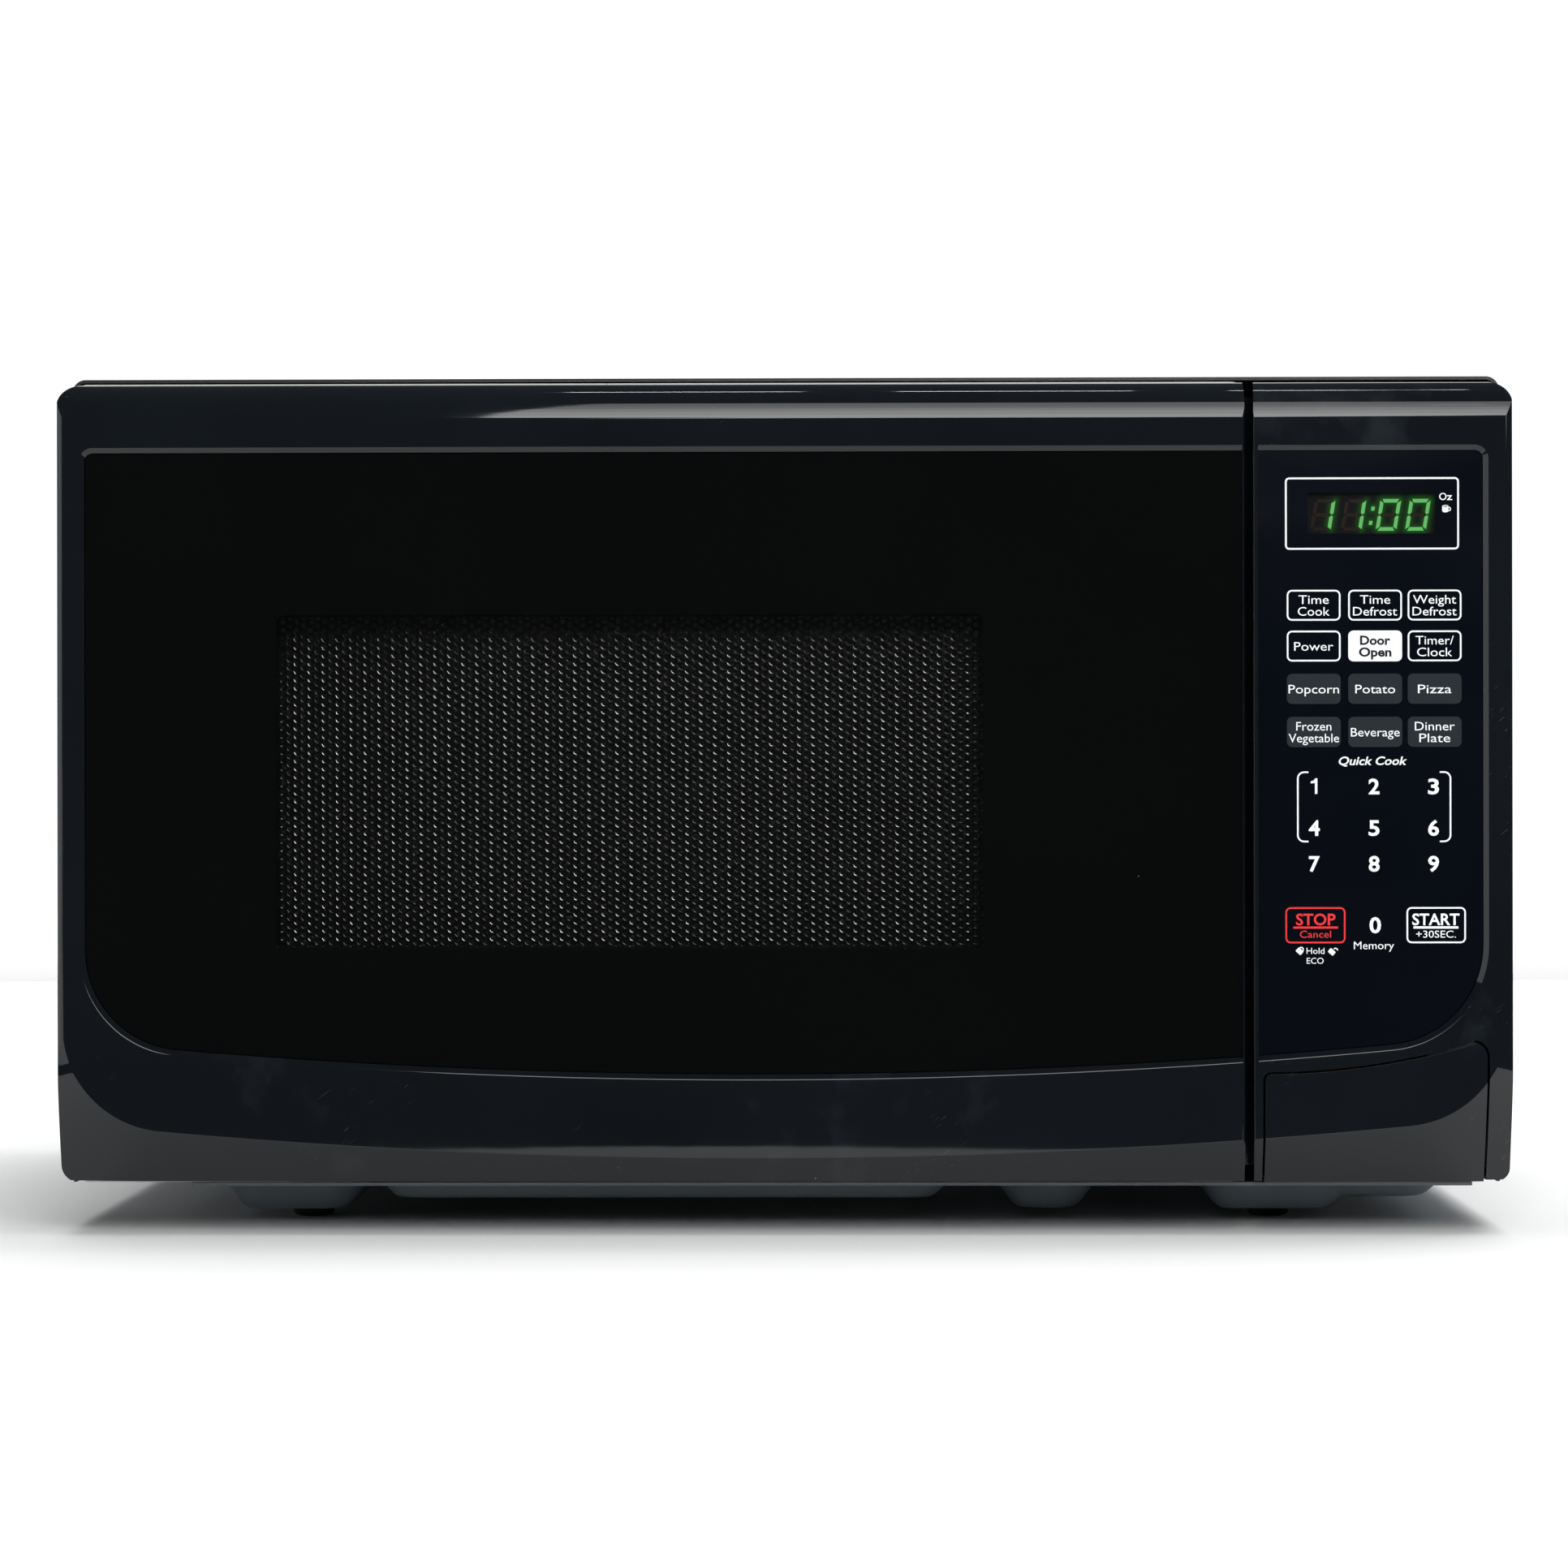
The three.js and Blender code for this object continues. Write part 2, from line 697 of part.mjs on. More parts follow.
// ---------------------------------------------------------------- turntable

function glassTurntable() {
  const under = CAVITY.bottom + 2 * WHEEL.radius + 2 * GAP;
  const profile = [
    [0, under],
    [104, under],
    [118, under + 4],
    [125, under + 11],
    [127, under + 14.5],
    [125.5, under + 15.5],
    [122, under + 13],
    [115.5, under + 8],
    [102, under + 4.6],
    [0, under + 4.6],
  ];
  const plate = solidOf(turned(profile, 48));
  const lugs = [30, 150, 270].map((angle) => {
    const geometry = new THREE.CylinderGeometry(5, 4.2, 5, 10);
    geometry.rotateX(Math.PI / 2).translate(16, 0, under - 2.3);
    return solidOf(geometry.rotateZ(THREE.MathUtils.degToRad(angle)));
  });
  return join(plate, ...lugs);
}

// The plastic coupler: three arms under the glass on a spindle that drops into the motor.
function driveCoupler() {
  const arms = [90, 210, 330].map((angle) => {
    const geometry = new THREE.BoxGeometry(20, 7, 5).translate(12, 0, 48);
    return solidOf(geometry.rotateZ(THREE.MathUtils.degToRad(angle)));
  });
  const spindle = turned(
    [
      [0, 27.8],
      [3.9, 27.8],
      [3.9, 36],
      [8.5, 38],
      [8.5, 50.8],
      [0, 50.8],
    ],
    16,
  );
  return join(solidOf(spindle), ...arms);
}

const WHEEL_ANGLES = [90, 210, 330];
const AXLE_Z = CAVITY.bottom + GAP + WHEEL.radius;

function rollerRing() {
  const ring = turned(
    [
      [71, AXLE_Z - 3.5],
      [79, AXLE_Z - 3.5],
      [79, AXLE_Z + 3.5],
      [71, AXLE_Z + 3.5],
      [71, AXLE_Z - 3.5],
    ],
    36,
  );
  const axles = WHEEL_ANGLES.map((angle) => {
    const geometry = new THREE.CylinderGeometry(1.9, 1.9, 15, 10);
    geometry.rotateZ(-Math.PI / 2).translate(84.5, 0, AXLE_Z);
    return solidOf(geometry.rotateZ(THREE.MathUtils.degToRad(angle)));
  });
  return join(solidOf(ring), ...axles);
}

// A wheel about its own axle, which lies along X.
function ringWheel() {
  const half = WHEEL.width / 2;
  const profile = [
    [2.3, -half],
    [WHEEL.radius - 0.8, -half],
    [WHEEL.radius, -half + 0.8],
    [WHEEL.radius, half - 0.8],
    [WHEEL.radius - 0.8, half],
    [2.3, half],
    [2.3, -half],
  ];
  return turned(profile, 20).rotateY(Math.PI / 2);
}

function turntableMotor() {
  const can = rod("z", 24, 17, 32.3, [TABLE.x, TABLE.y], 28);
  const tabs = box(TABLE.x - 30, TABLE.x + 30, TABLE.y - 5, TABLE.y + 5, 30.8, 32.3);
  return cut(join(can, tabs), rod("z", 4.6, 27.4, 40, [TABLE.x, TABLE.y], 14));
}

// ---------------------------------------------------------------- power parts

const GUIDE = { x0: 108.3, x1: 126, y0: -44, y1: 64, z0: 168, z1: 239 };
const TUBE = { y: 10, z: 204 }; // the magnetron's axis

function waveguide() {
  const { x0, x1, y0, y1, z0, z1 } = GUIDE;
  return cut(
    box(x0, x1, y0, y1, z0, z1),
    box(x0 - 1, x1 - SHEET, y0 + SHEET, y1 - SHEET, z0 + SHEET, z1 - SHEET),
    rod("x", 13, x1 - 3, x1 + 1, [TUBE.y, TUBE.z]),
  );
}

function magnetronFrame() {
  return cut(
    box(126.4, 190, -32, 52, 171, 237),
    box(128.4, 188, -33, 53, 173, 235),
    rod("x", 15, 120, 200, [TUBE.y, TUBE.z], 20),
  );
}

// The magnetron tube with its cooling fins, its antenna and the filter box at its foot.
function magnetronCore() {
  const fins = [0, 1, 2, 3, 4, 5].map((i) => {
    const x = 134 + i * 9;
    return box(x, x + 1.2, -30, 50, 175, 233);
  });
  return join(
    rod("x", 14, 128, 192, [TUBE.y, TUBE.z], 20),
    rod("x", 8, 112, 129, [TUBE.y, TUBE.z], 14),
    box(190.5, 214, -12, 32, 184, 224),
    ...fins,
  );
}

const CORE = { x0: 122, x1: 202, y0: -78, y1: -12, z0: 14, z1: 82 };
const LIMB = { x0: 148, x1: 176 };

function transformerCore() {
  const { x0, x1, y0, y1, z0, z1 } = CORE;
  return cut(
    box(x0, x1, y0, y1, z0, z1),
    box(x0 + 14, LIMB.x0, y0 - 1, y1 + 1, z0 + 14, z1 - 14),
    box(LIMB.x1, x1 - 14, y0 - 1, y1 + 1, z0 + 14, z1 - 14),
  );
}

function winding(z0, z1) {
  const shape = rounded(THREE.Shape, LIMB.x0 - 11.4, LIMB.x1 + 11.4, CORE.y0 - 12, CORE.y1 + 12, 8);
  shape.holes.push(
    rounded(THREE.Path, LIMB.x0 - 0.4, LIMB.x1 + 0.4, CORE.y0 - 0.4, CORE.y1 + 0.4, 0.2),
  );
  return prism("z", shape, z0, z1, 3);
}

function capacitor() {
  const can = prism("y", rounded(THREE.Shape, 16, 50, 126, 180, 15), 10, 98, 5);
  const terminals = [box(141, 147, 97, 108, 29, 37), box(159, 165, 97, 108, 29, 37)];
  return join(can, ...terminals);
}

function highVoltageDiode() {
  return join(
    rod("y", 4, 24, 44, [22, 198], 12),
    rod("y", 1, 12, 60, [22, 198], 8),
    box(192, 204, 58, 60, 17, 27),
  );
}

const FAN = { x: 164, z: 112 };

function fanShroud() {
  const sheet = box(112, 216, 124, 126, 58, 166);
  const ring = rod("y", 49.5, 112, 125, [FAN.z, FAN.x], 32);
  return cut(join(sheet, ring), rod("y", 47, 100, 130, [FAN.z, FAN.x], 32));
}

function fanBlade() {
  const hub = rod("y", 11, 112, 126, [0, 0], 16);
  const shaft = rod("y", 1.9, 124, 154, [0, 0], 10);
  const blades = [0, 1, 2, 3, 4].map((i) => {
    const geometry = new THREE.BoxGeometry(34, 1.4, 15);
    geometry.rotateX(THREE.MathUtils.degToRad(50)).translate(26.5, 119, 0);
    return solidOf(geometry.rotateY((i * 2 * Math.PI) / 5));
  });
  return join(hub, shaft, ...blades);
}

function fanMotor() {
  const stack = box(FAN.x - 18, FAN.x + 18, 138, 156, FAN.z - 20, FAN.z + 34);
  const coilBlock = box(FAN.x - 14, FAN.x + 14, 134, 160, FAN.z + 16, FAN.z + 31);
  const bracket = box(FAN.x - 44, FAN.x + 44, 156, 158, FAN.z - 5, FAN.z + 5);
  return cut(join(stack, coilBlock, bracket), rod("y", 2.5, 130, 157, [FAN.z, FAN.x], 10));
}

function noiseFilterBoard() {
  return join(
    box(130, 212, 70, 150, 226, 227.6),
    box(140, 160, 80, 104, 227, 245), // choke
    box(176, 200, 84, 96, 227, 241), // suppression capacitor
    box(150, 180, 128, 136, 227, 235), // fuse
  );
}

const LAMP = { y: 108, z: 208 };

function lampBulb() {
  const profile = [
    [0, 0],
    [6, 1.5],
    [10, 6],
    [11, 11],
    [9.5, 16],
    [6.5, 21],
    [6.5, 30],
    [0, 30],
  ];
  return turned(profile, 16).rotateY(Math.PI / 2);
}

function lampHolder() {
  const { y, z } = LAMP;
  return cut(box(136, 152, y - 13, y + 13, z - 13, z + 13), rod("x", 7, 130, 146, [y, z]));
}

// ---------------------------------------------------------------- materials

function material(color, roughness, metalness = 0, more = {}) {
  return () => new THREE.MeshStandardMaterial({ color, roughness, metalness, ...more });
}

const GLOSS_BLACK = material("#14191d", 0.12);
const PANE_BLACK = material("#080909", 0.05);
const KEYPAD = material("#080c14", 0.2);
const PAINT = material("#101214", 0.35, 0.2);
const GREY_STEEL = material("#3e4b50", 0.5, 0.6);
const ZINC = material("#a9adb0", 0.4, 0.9);
const CAVITY_PAINT = material("#b9bab5", 0.4, 0.1);
const BLACK_PLASTIC = material("#17181a", 0.55);
const WHITE_PLASTIC = material("#dcdcd6", 0.5);
const RUBBER = material("#0e0e0f", 0.9);
const GLASS = material("#dfe9ea", 0.03, 0, { transparent: true, opacity: 0.35 });
const COPPER = material("#8a4a26", 0.45, 0.6);
const IRON = material("#55585a", 0.55, 0.8);
const BOARD_GREEN = material("#2f5c35", 0.6);
const MICA = material("#b7ab8d", 0.6);
const SPRING_STEEL = material("#8d9193", 0.3, 1);

// ---------------------------------------------------------------- assembly

const oven = new THREE.Group();
oven.name = "microwave_oven";

function place(parent, name, shape, makeMaterial, at = [0, 0, 0]) {
  const geometry = shape.isBufferGeometry ? shape : geometryOf(shape);
  const mesh = new THREE.Mesh(geometry, makeMaterial());
  mesh.name = name;
  mesh.position.set(...at);
  parent.add(mesh);
  return mesh;
}

function subGroup(x = 0, y = 0, z = 0) {
  const group = new THREE.Group();
  group.position.set(x, y, z);
  oven.add(group);
  return group;
}

const fascia = fasciaBody(FRONT, 0, -130);
const hollow = fasciaBody(FRONT + SKIN, 2.5, -130);

const body = subGroup();
place(body, "outer_cabinet", outerCabinet(), PAINT);
place(body, "rear_panel", rearPanel(), GREY_STEEL);
place(body, "base_plate", basePlate(), GREY_STEEL);
for (const [name, x, y] of FEET) {
  place(body, name, foot(), RUBBER, [x, y, 0]);
}
place(body, "front_plate", frontPlate(), CAVITY_PAINT);
for (const [name, piece] of Object.entries(cavityPieces())) {
  place(body, name, piece, CAVITY_PAINT);
}
place(body, "cord_bushing", cordBushing(), BLACK_PLASTIC, [CORD.x, BODY_BACK + GAP, CORD.z]);
const [lowHinge, highHinge] = HINGE_LEVELS;
place(body, "lower_hinge_bracket", hingeBracket(lowHinge), ZINC);
place(body, "upper_hinge_bracket", hingeBracket(highHinge), ZINC);

const power = subGroup();
place(power, "waveguide", waveguide(), ZINC);
place(power, "waveguide_cover", waveguideCover(), MICA);
place(power, "magnetron_frame", magnetronFrame(), ZINC);
place(power, "magnetron_core", magnetronCore(), ZINC);
place(power, "transformer_core", transformerCore(), IRON);
place(power, "secondary_winding", winding(30, 47), COPPER);
place(power, "primary_winding", winding(49, 66), COPPER);
place(power, "capacitor", capacitor(), ZINC);
place(power, "high_voltage_diode", highVoltageDiode(), BLACK_PLASTIC);
place(power, "fan_shroud", fanShroud(), WHITE_PLASTIC);
place(power, "fan_motor", fanMotor(), IRON);
place(power, "noise_filter_board", noiseFilterBoard(), BOARD_GREEN);
place(power, "lamp_bulb", lampBulb(), GLASS, [114, LAMP.y, LAMP.z]);
place(power, "lamp_holder", lampHolder(), WHITE_PLASTIC);
place(power, "turntable_motor", turntableMotor(), ZINC);

const fan = subGroup(FAN.x, 0, FAN.z);
place(fan, "fan_blade", fanBlade(), WHITE_PLASTIC);

const panel = subGroup();
place(panel, "control_panel_frame", controlPanelFrame(fascia, hollow), GLOSS_BLACK);
place(panel, "keypad_overlay", keypadOverlay(), KEYPAD);
place(panel, "display_module", displayModule(), PANE_BLACK);
place(panel, "control_board", controlBoard(), BOARD_GREEN);
place(panel, "release_button", releaseButton(fascia, hollow), GLOSS_BLACK);

const latch = subGroup();
place(latch, "latch_board", latchBoard(), WHITE_PLASTIC);
place(latch, "release_lever", releaseLever(), WHITE_PLASTIC);
const leverCoil = coil(4, 7, 4, 0.5);
const leverSpring = place(latch, "lever_spring", leverCoil, SPRING_STEEL, [141, LEVER.y, LEVER.z]);
leverSpring.rotation.set(0, Math.PI / 2, 0);

const SWITCHES = [
  { name: "upper_switch", plunger: "upper_plunger", x: 129, z: 196, press: -8 },
  { name: "lower_switch", plunger: "lower_plunger", x: 123.4, z: 84, press: -10 },
  { name: "monitor_switch", plunger: "monitor_plunger", x: 132.2, z: 84, press: -10 },
];
for (const { name, plunger, x, z, press } of SWITCHES) {
  place(latch, name, switchBody(press), BLACK_PLASTIC, [x, SWITCH.front, z]);
  const button = box(
    -PLUNGER.width / 2,
    PLUNGER.width / 2,
    PLUNGER.front,
    PLUNGER.back,
    -PLUNGER.height / 2,
    PLUNGER.height / 2,
  );
  place(latch, plunger, button, WHITE_PLASTIC, [x, 0, z + press]);
}

const door = subGroup();
place(door, "door_frame", doorFrame(fascia, hollow), GLOSS_BLACK);
place(door, "window_pane", recessFill(LEFT, DOOR_RIGHT - GAP, 2), PANE_BLACK);
place(door, "door_screen_panel", doorScreenPanel(), BLACK_PLASTIC);
place(door, "choke_cover", chokeCover(), BLACK_PLASTIC);
place(door, "inner_window_film", innerWindowFilm(), GLASS);
place(door, "latch_hook_bar", latchHookBar(), WHITE_PLASTIC);
place(door, "latch_spring", coil(2.6, 21, 6, 0.5), SPRING_STEEL, [129, -156, 40]);

const table = subGroup(TABLE.x, TABLE.y, 0);
place(table, "glass_turntable", glassTurntable(), GLASS);
place(table, "drive_coupler", driveCoupler(), WHITE_PLASTIC);
place(table, "roller_ring", rollerRing(), WHITE_PLASTIC);
WHEEL_ANGLES.forEach((angle, i) => {
  const arm = new THREE.Group();
  arm.rotation.z = THREE.MathUtils.degToRad(angle);
  table.add(arm);
  place(arm, "ring_wheel_" + (i + 1), ringWheel(), WHITE_PLASTIC, [WHEEL.track, 0, AXLE_Z]);
});

export default oven;
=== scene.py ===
"""The looks of a countertop microwave oven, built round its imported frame.

Shapes are worked out in millimetres in the part's own frame: +X to the right as seen from the
front, +Y to the back, +Z up. new_piece() turns them into metres.
"""

import json
import math
import random

import bmesh
import bpy
from mathutils import Matrix, Vector


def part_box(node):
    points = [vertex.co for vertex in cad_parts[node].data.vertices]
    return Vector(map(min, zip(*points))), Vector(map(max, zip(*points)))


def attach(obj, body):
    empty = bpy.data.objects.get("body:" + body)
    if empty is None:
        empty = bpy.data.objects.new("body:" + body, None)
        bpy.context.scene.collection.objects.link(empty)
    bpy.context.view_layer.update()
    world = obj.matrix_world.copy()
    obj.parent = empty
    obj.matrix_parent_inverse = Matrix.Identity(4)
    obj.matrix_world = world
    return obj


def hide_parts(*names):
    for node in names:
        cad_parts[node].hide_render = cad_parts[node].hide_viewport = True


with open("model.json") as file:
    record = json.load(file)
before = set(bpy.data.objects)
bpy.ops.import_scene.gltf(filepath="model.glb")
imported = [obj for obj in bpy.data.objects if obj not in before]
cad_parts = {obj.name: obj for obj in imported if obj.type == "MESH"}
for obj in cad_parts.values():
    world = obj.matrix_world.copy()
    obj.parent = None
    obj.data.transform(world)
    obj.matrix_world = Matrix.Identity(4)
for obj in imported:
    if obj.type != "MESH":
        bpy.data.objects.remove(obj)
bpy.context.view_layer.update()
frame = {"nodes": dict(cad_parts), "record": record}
SCENE = bpy.context.scene
MM = 0.001


def low(node):
    """The lowest corner of a CAD node, mm."""
    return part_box(node)[0] / MM


def high(node):
    """The highest corner of a CAD node, mm."""
    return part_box(node)[1] / MM


def middle(node):
    return (low(node) + high(node)) / 2


# ------------------------------------------------------------------ sizes, from the frame

FRONT = low("door_frame").y
LEFT, RIGHT = low("outer_cabinet").x, high("outer_cabinet").x
TOP = high("outer_cabinet").z
DOOR_LEFT, DOOR_RIGHT = low("door_frame").x, high("door_frame").x
DOOR_BACK = high("door_frame").y
FASCIA_BOTTOM, FASCIA_TOP = low("door_frame").z, high("door_frame").z
PANEL_LEFT, PANEL_BACK = low("control_panel_frame").x, high("control_panel_frame").y
BUTTON_BOTTOM = low("release_button").z
PANE_FRONT, PANE_BACK = low("window_pane").y, high("window_pane").y

# ------------------------------------------------------------------ camera

# The photograph's view: straight on, a little right of the middle, at about half height.
CAMERA_DISTANCE = 1450
CAMERA_YAW = math.radians(0.8)
CAMERA_ROLL = math.radians(-0.09)
VIEW_WIDTH = 473.2
AIM = Vector((0.2, FRONT, 136.3))


def scene_object(name, data):
    """A new object in the scene."""
    item = bpy.data.objects.new(name, data)
    SCENE.collection.objects.link(item)
    return item


def add_camera():
    data = bpy.data.cameras.new("view_camera")
    data.sensor_width = 36
    data.lens = data.sensor_width * CAMERA_DISTANCE / VIEW_WIDTH
    data.clip_start = 0.01
    data.clip_end = 50
    camera = scene_object("view_camera", data)
    offset = Vector((math.sin(CAMERA_YAW), -math.cos(CAMERA_YAW), 0)) * CAMERA_DISTANCE
    turn = Matrix.Rotation(CAMERA_YAW, 4, "Z") @ Matrix.Rotation(math.pi / 2, 4, "X")
    turn = turn @ Matrix.Rotation(CAMERA_ROLL, 4, "Z")
    camera.matrix_world = Matrix.Translation((AIM + offset) * MM) @ turn
    SCENE.camera = camera


add_camera()

# ------------------------------------------------------------------ materials


class Nodes:
    """A short way to build a node tree in object coordinates."""

    def __init__(self, name):
        self.material = bpy.data.materials.new(name)
        self.material.use_nodes = True
        self.tree = self.material.node_tree
        self.shader = self.tree.nodes["Principled BSDF"]
        self.place = self.add("ShaderNodeTexCoord").outputs["Object"]

    def add(self, kind, values=None, **inputs):
        node = self.tree.nodes.new(kind)
        for key, value in (values or {}).items():
            setattr(node, key, value)
        for key, value in inputs.items():
            self.feed(node.inputs[key], value)
        return node

    def feed(self, socket, value):
        """Links a socket to another one, or gives it a plain value."""
        if isinstance(value, bpy.types.NodeSocket):
            self.tree.links.new(value, socket)
        else:
            socket.default_value = value

    def filled(self, kind, values):
        """A node with its first inputs filled in their order."""
        node = self.add(kind)
        for i, value in enumerate(values):
            self.feed(node.inputs[i], value)
        return node

    def link(self, output, socket_name):
        self.tree.links.new(output, self.shader.inputs[socket_name])

    def set(self, **values):
        for key, value in values.items():
            self.shader.inputs[key.replace("_", " ")].default_value = value

    def noise(self, scale, detail=3.0, stretch=(1, 1, 1), roughness=0.5):
        mapped = self.add("ShaderNodeMapping", Vector=self.place, Scale=stretch)
        return self.add(
            "ShaderNodeTexNoise",
            Vector=mapped.outputs["Vector"],
            Scale=scale,
            Detail=detail,
            Roughness=roughness,
        ).outputs["Fac"]

    def ranged(self, value, low_from, high_from, low_to, high_to):
        values = (value, low_from, high_from, low_to, high_to)
        return self.filled("ShaderNodeMapRange", values).outputs["Result"]

    def mixed(self, factor, first, second):
        node = self.add("ShaderNodeMix", {"data_type": "RGBA"}, Factor=factor)
        for socket, value in ((node.inputs[6], first), (node.inputs[7], second)):
            self.feed(socket, (*value, 1) if isinstance(value, tuple) else value)
        return node.outputs[2]

    def calculated(self, operation, first, second):
        node = self.filled("ShaderNodeMath", (first, second))
        node.operation = operation
        return node.outputs[0]

    def bump(self, height, distance, strength=1.0, normal=None):
        node = self.add("ShaderNodeBump", Height=height, Distance=distance, Strength=strength)
        if normal is not None:
            self.tree.links.new(normal, node.inputs["Normal"])
        return node.outputs["Normal"]

    def tint(self, factor, color, dark, light):
        """Shades of one colour: dark to light times it."""
        self.link(self.mixed(factor, scaled(color, dark), scaled(color, light)), "Base Color")

    def roughen(self, factor, roughness, smooth, rough):
        """An uneven gloss: smooth to rough times one roughness."""
        uneven = self.ranged(factor, 0.3, 0.7, roughness * smooth, roughness * rough)
        self.link(uneven, "Roughness")

    def emboss(self, height, distance):
        self.link(self.bump(height, distance), "Normal")

    def specks(self, per_metre, size, share):
        """White where a few small dots lie: dust, at per_metre cells."""
        cells = self.add("ShaderNodeTexVoronoi", Vector=self.place, Scale=per_metre, Randomness=1.0)
        dot = self.ranged(cells.outputs["Distance"], size * 0.5, size, 1, 0)
        split = self.add("ShaderNodeSeparateColor", Color=cells.outputs["Color"])
        chosen = self.calculated("LESS_THAN", split.outputs["Red"], share)
        return self.calculated("MULTIPLY", dot, chosen)

    def scuffs(self, share):
        """Fine slanting scratches that lie in patches."""
        turned = self.add("ShaderNodeMapping", Vector=self.place, Rotation=(0, -0.9, 0))
        stretched = self.add("ShaderNodeMapping", Vector=turned.outputs["Vector"], Scale=(1, 1, 0.06))
        lines = self.add(
            "ShaderNodeTexNoise", Vector=stretched.outputs["Vector"], Scale=3200.0, Detail=1.0
        ).outputs["Fac"]
        patches = self.ranged(self.noise(34, 2), 0.6, 0.72, 0, share)
        return self.calculated("MULTIPLY", self.ranged(lines, 0.72, 0.78, 0, 1), patches)


def srgb(red, green, blue):
    """An 8-bit display colour as a linear one."""

    def linear(value):
        value /= 255
        return value / 12.92 if value <= 0.04045 else ((value + 0.055) / 1.055) ** 2.4

    return tuple(linear(value) for value in (red, green, blue))


def scaled(color, factor):
    return tuple(min(1.0, channel * factor) for channel in color)


def gloss_moulding(name, color, roughness=0.05, dust=0.006, waviness=0.00002, wear=0.0):
    """Polished dark plastic: slow waviness, a little dust, and with wear, smudges and scuffs."""
    n = Nodes(name)
    clouds = n.noise(14, 4)
    speck = n.specks(420, 0.085, dust)
    body = n.mixed(n.ranged(clouds, 0.3, 0.7, 0, 1), scaled(color, 0.82), scaled(color, 1.18))
    if wear:
        smudge = n.ranged(n.noise(21, 6, (1, 1, 0.8), 0.62), 0.6, 0.82, 0, wear * 0.5)
        body = n.mixed(smudge, body, (0.1, 0.12, 0.14))
        body = n.mixed(n.scuffs(wear), body, (0.3, 0.33, 0.35))
    n.link(n.mixed(speck, body, (0.35, 0.36, 0.37)), "Base Color")
    haze = n.ranged(n.noise(9, 5, (1, 1, 2.5)), 0.35, 0.75, roughness * 0.7, roughness * 1.6)
    n.link(n.calculated("MAXIMUM", haze, n.ranged(speck, 0, 1, 0, 0.7)), "Roughness")
    n.emboss(n.noise(34, 2), waviness)
    n.set(IOR=1.5)
    return n.material


def textured_plastic(name, color, roughness=0.5, grain=1400, depth=0.00003):
    """Moulded plastic with a fine spark-eroded grain."""
    n = Nodes(name)
    clouds = n.noise(22, 3)
    n.tint(clouds, color, 0.86, 1.12)
    n.roughen(clouds, roughness, 0.85, 1.15)
    n.emboss(n.noise(grain, 2), depth)
    return n.material


def coated_metal(name, color, roughness=0.38, grain=1900, depth=0.00005, metallic=0.0, speck=0.0):
    """Powder coat or enamel on sheet steel: orange peel, mottled gloss and a few marks."""
    n = Nodes(name)
    clouds = n.noise(7, 5)
    body = n.mixed(n.ranged(clouds, 0.3, 0.7, 0, 1), scaled(color, 0.94), scaled(color, 1.05))
    if speck:
        body = n.mixed(n.specks(420, 0.16, speck), body, scaled(color, 0.45))
    n.link(body, "Base Color")
    n.roughen(n.noise(55, 3), roughness, 0.94, 1.07)
    peel = n.bump(n.noise(grain, 3), depth)
    n.link(n.bump(n.noise(9, 1), 0.00004, 0.5, peel), "Normal")
    n.set(Metallic=metallic, IOR=1.5)
    return n.material


def plated_sheet(name, color, roughness=0.34, stretch=(1, 1, 30)):
    """Bare plated steel with rolling marks and spangle."""
    n = Nodes(name)
    spangle = n.add("ShaderNodeTexVoronoi", Vector=n.place, Scale=190.0).outputs["Color"]
    tone = n.ranged(n.add("ShaderNodeSeparateColor", Color=spangle).outputs["Red"], 0, 1, 0, 1)
    n.tint(tone, color, 0.82, 1.12)
    marks = n.noise(60, 4, stretch)
    n.roughen(marks, roughness, 0.75, 1.3)
    n.emboss(marks, 0.00002)
    n.set(Metallic=1.0)
    return n.material


def rubber(name, color):
    n = Nodes(name)
    clouds = n.noise(120, 4)
    n.tint(clouds, color, 0.7, 1.6)
    n.roughen(clouds, 1, 0.75, 0.95)
    n.emboss(n.noise(900, 3), 0.00004)
    return n.material


def layered(name, color, spacing, axis, roughness=0.45, metallic=0.6, depth=0.00015):
    """Stacked laminations or wound wire: fine ridges along one axis, spacing in metres."""
    n = Nodes(name)
    ridges = n.add(
        "ShaderNodeTexWave",
        {"wave_type": "BANDS", "bands_direction": axis},
        Vector=n.place,
        Scale=0.314 / spacing,
        Distortion=0.6,
        Detail=1.0,
    ).outputs["Fac"]
    n.tint(ridges, color, 0.45, 1.15)
    n.roughen(n.noise(40, 3), roughness, 0.8, 1.2)
    n.emboss(ridges, depth)
    n.set(Metallic=metallic)
    return n.material


def circuit_board(name, color):
    """Solder mask over copper tracks."""
    n = Nodes(name)
    cells = n.add(
        "ShaderNodeTexVoronoi", {"feature": "DISTANCE_TO_EDGE"}, Vector=n.place, Scale=150.0
    ).outputs["Distance"]
    track = n.ranged(cells, 0.04, 0.07, 1, 0)
    n.tint(track, color, 1, 2.1)
    n.link(n.ranged(track, 0, 1, 0.4, 0.28), "Roughness")
    n.emboss(track, 0.00004)
    return n.material


def clear_glass(name, color, roughness=0.02):
    n = Nodes(name)
    smear = n.noise(16, 4)
    n.tint(smear, color, 0.97, 1)
    n.link(n.ranged(smear, 0.35, 0.75, roughness, roughness + 0.05), "Roughness")
    n.emboss(n.noise(20, 1), 0.00003)
    n.set(Transmission_Weight=1.0, IOR=1.5)
    return n.material


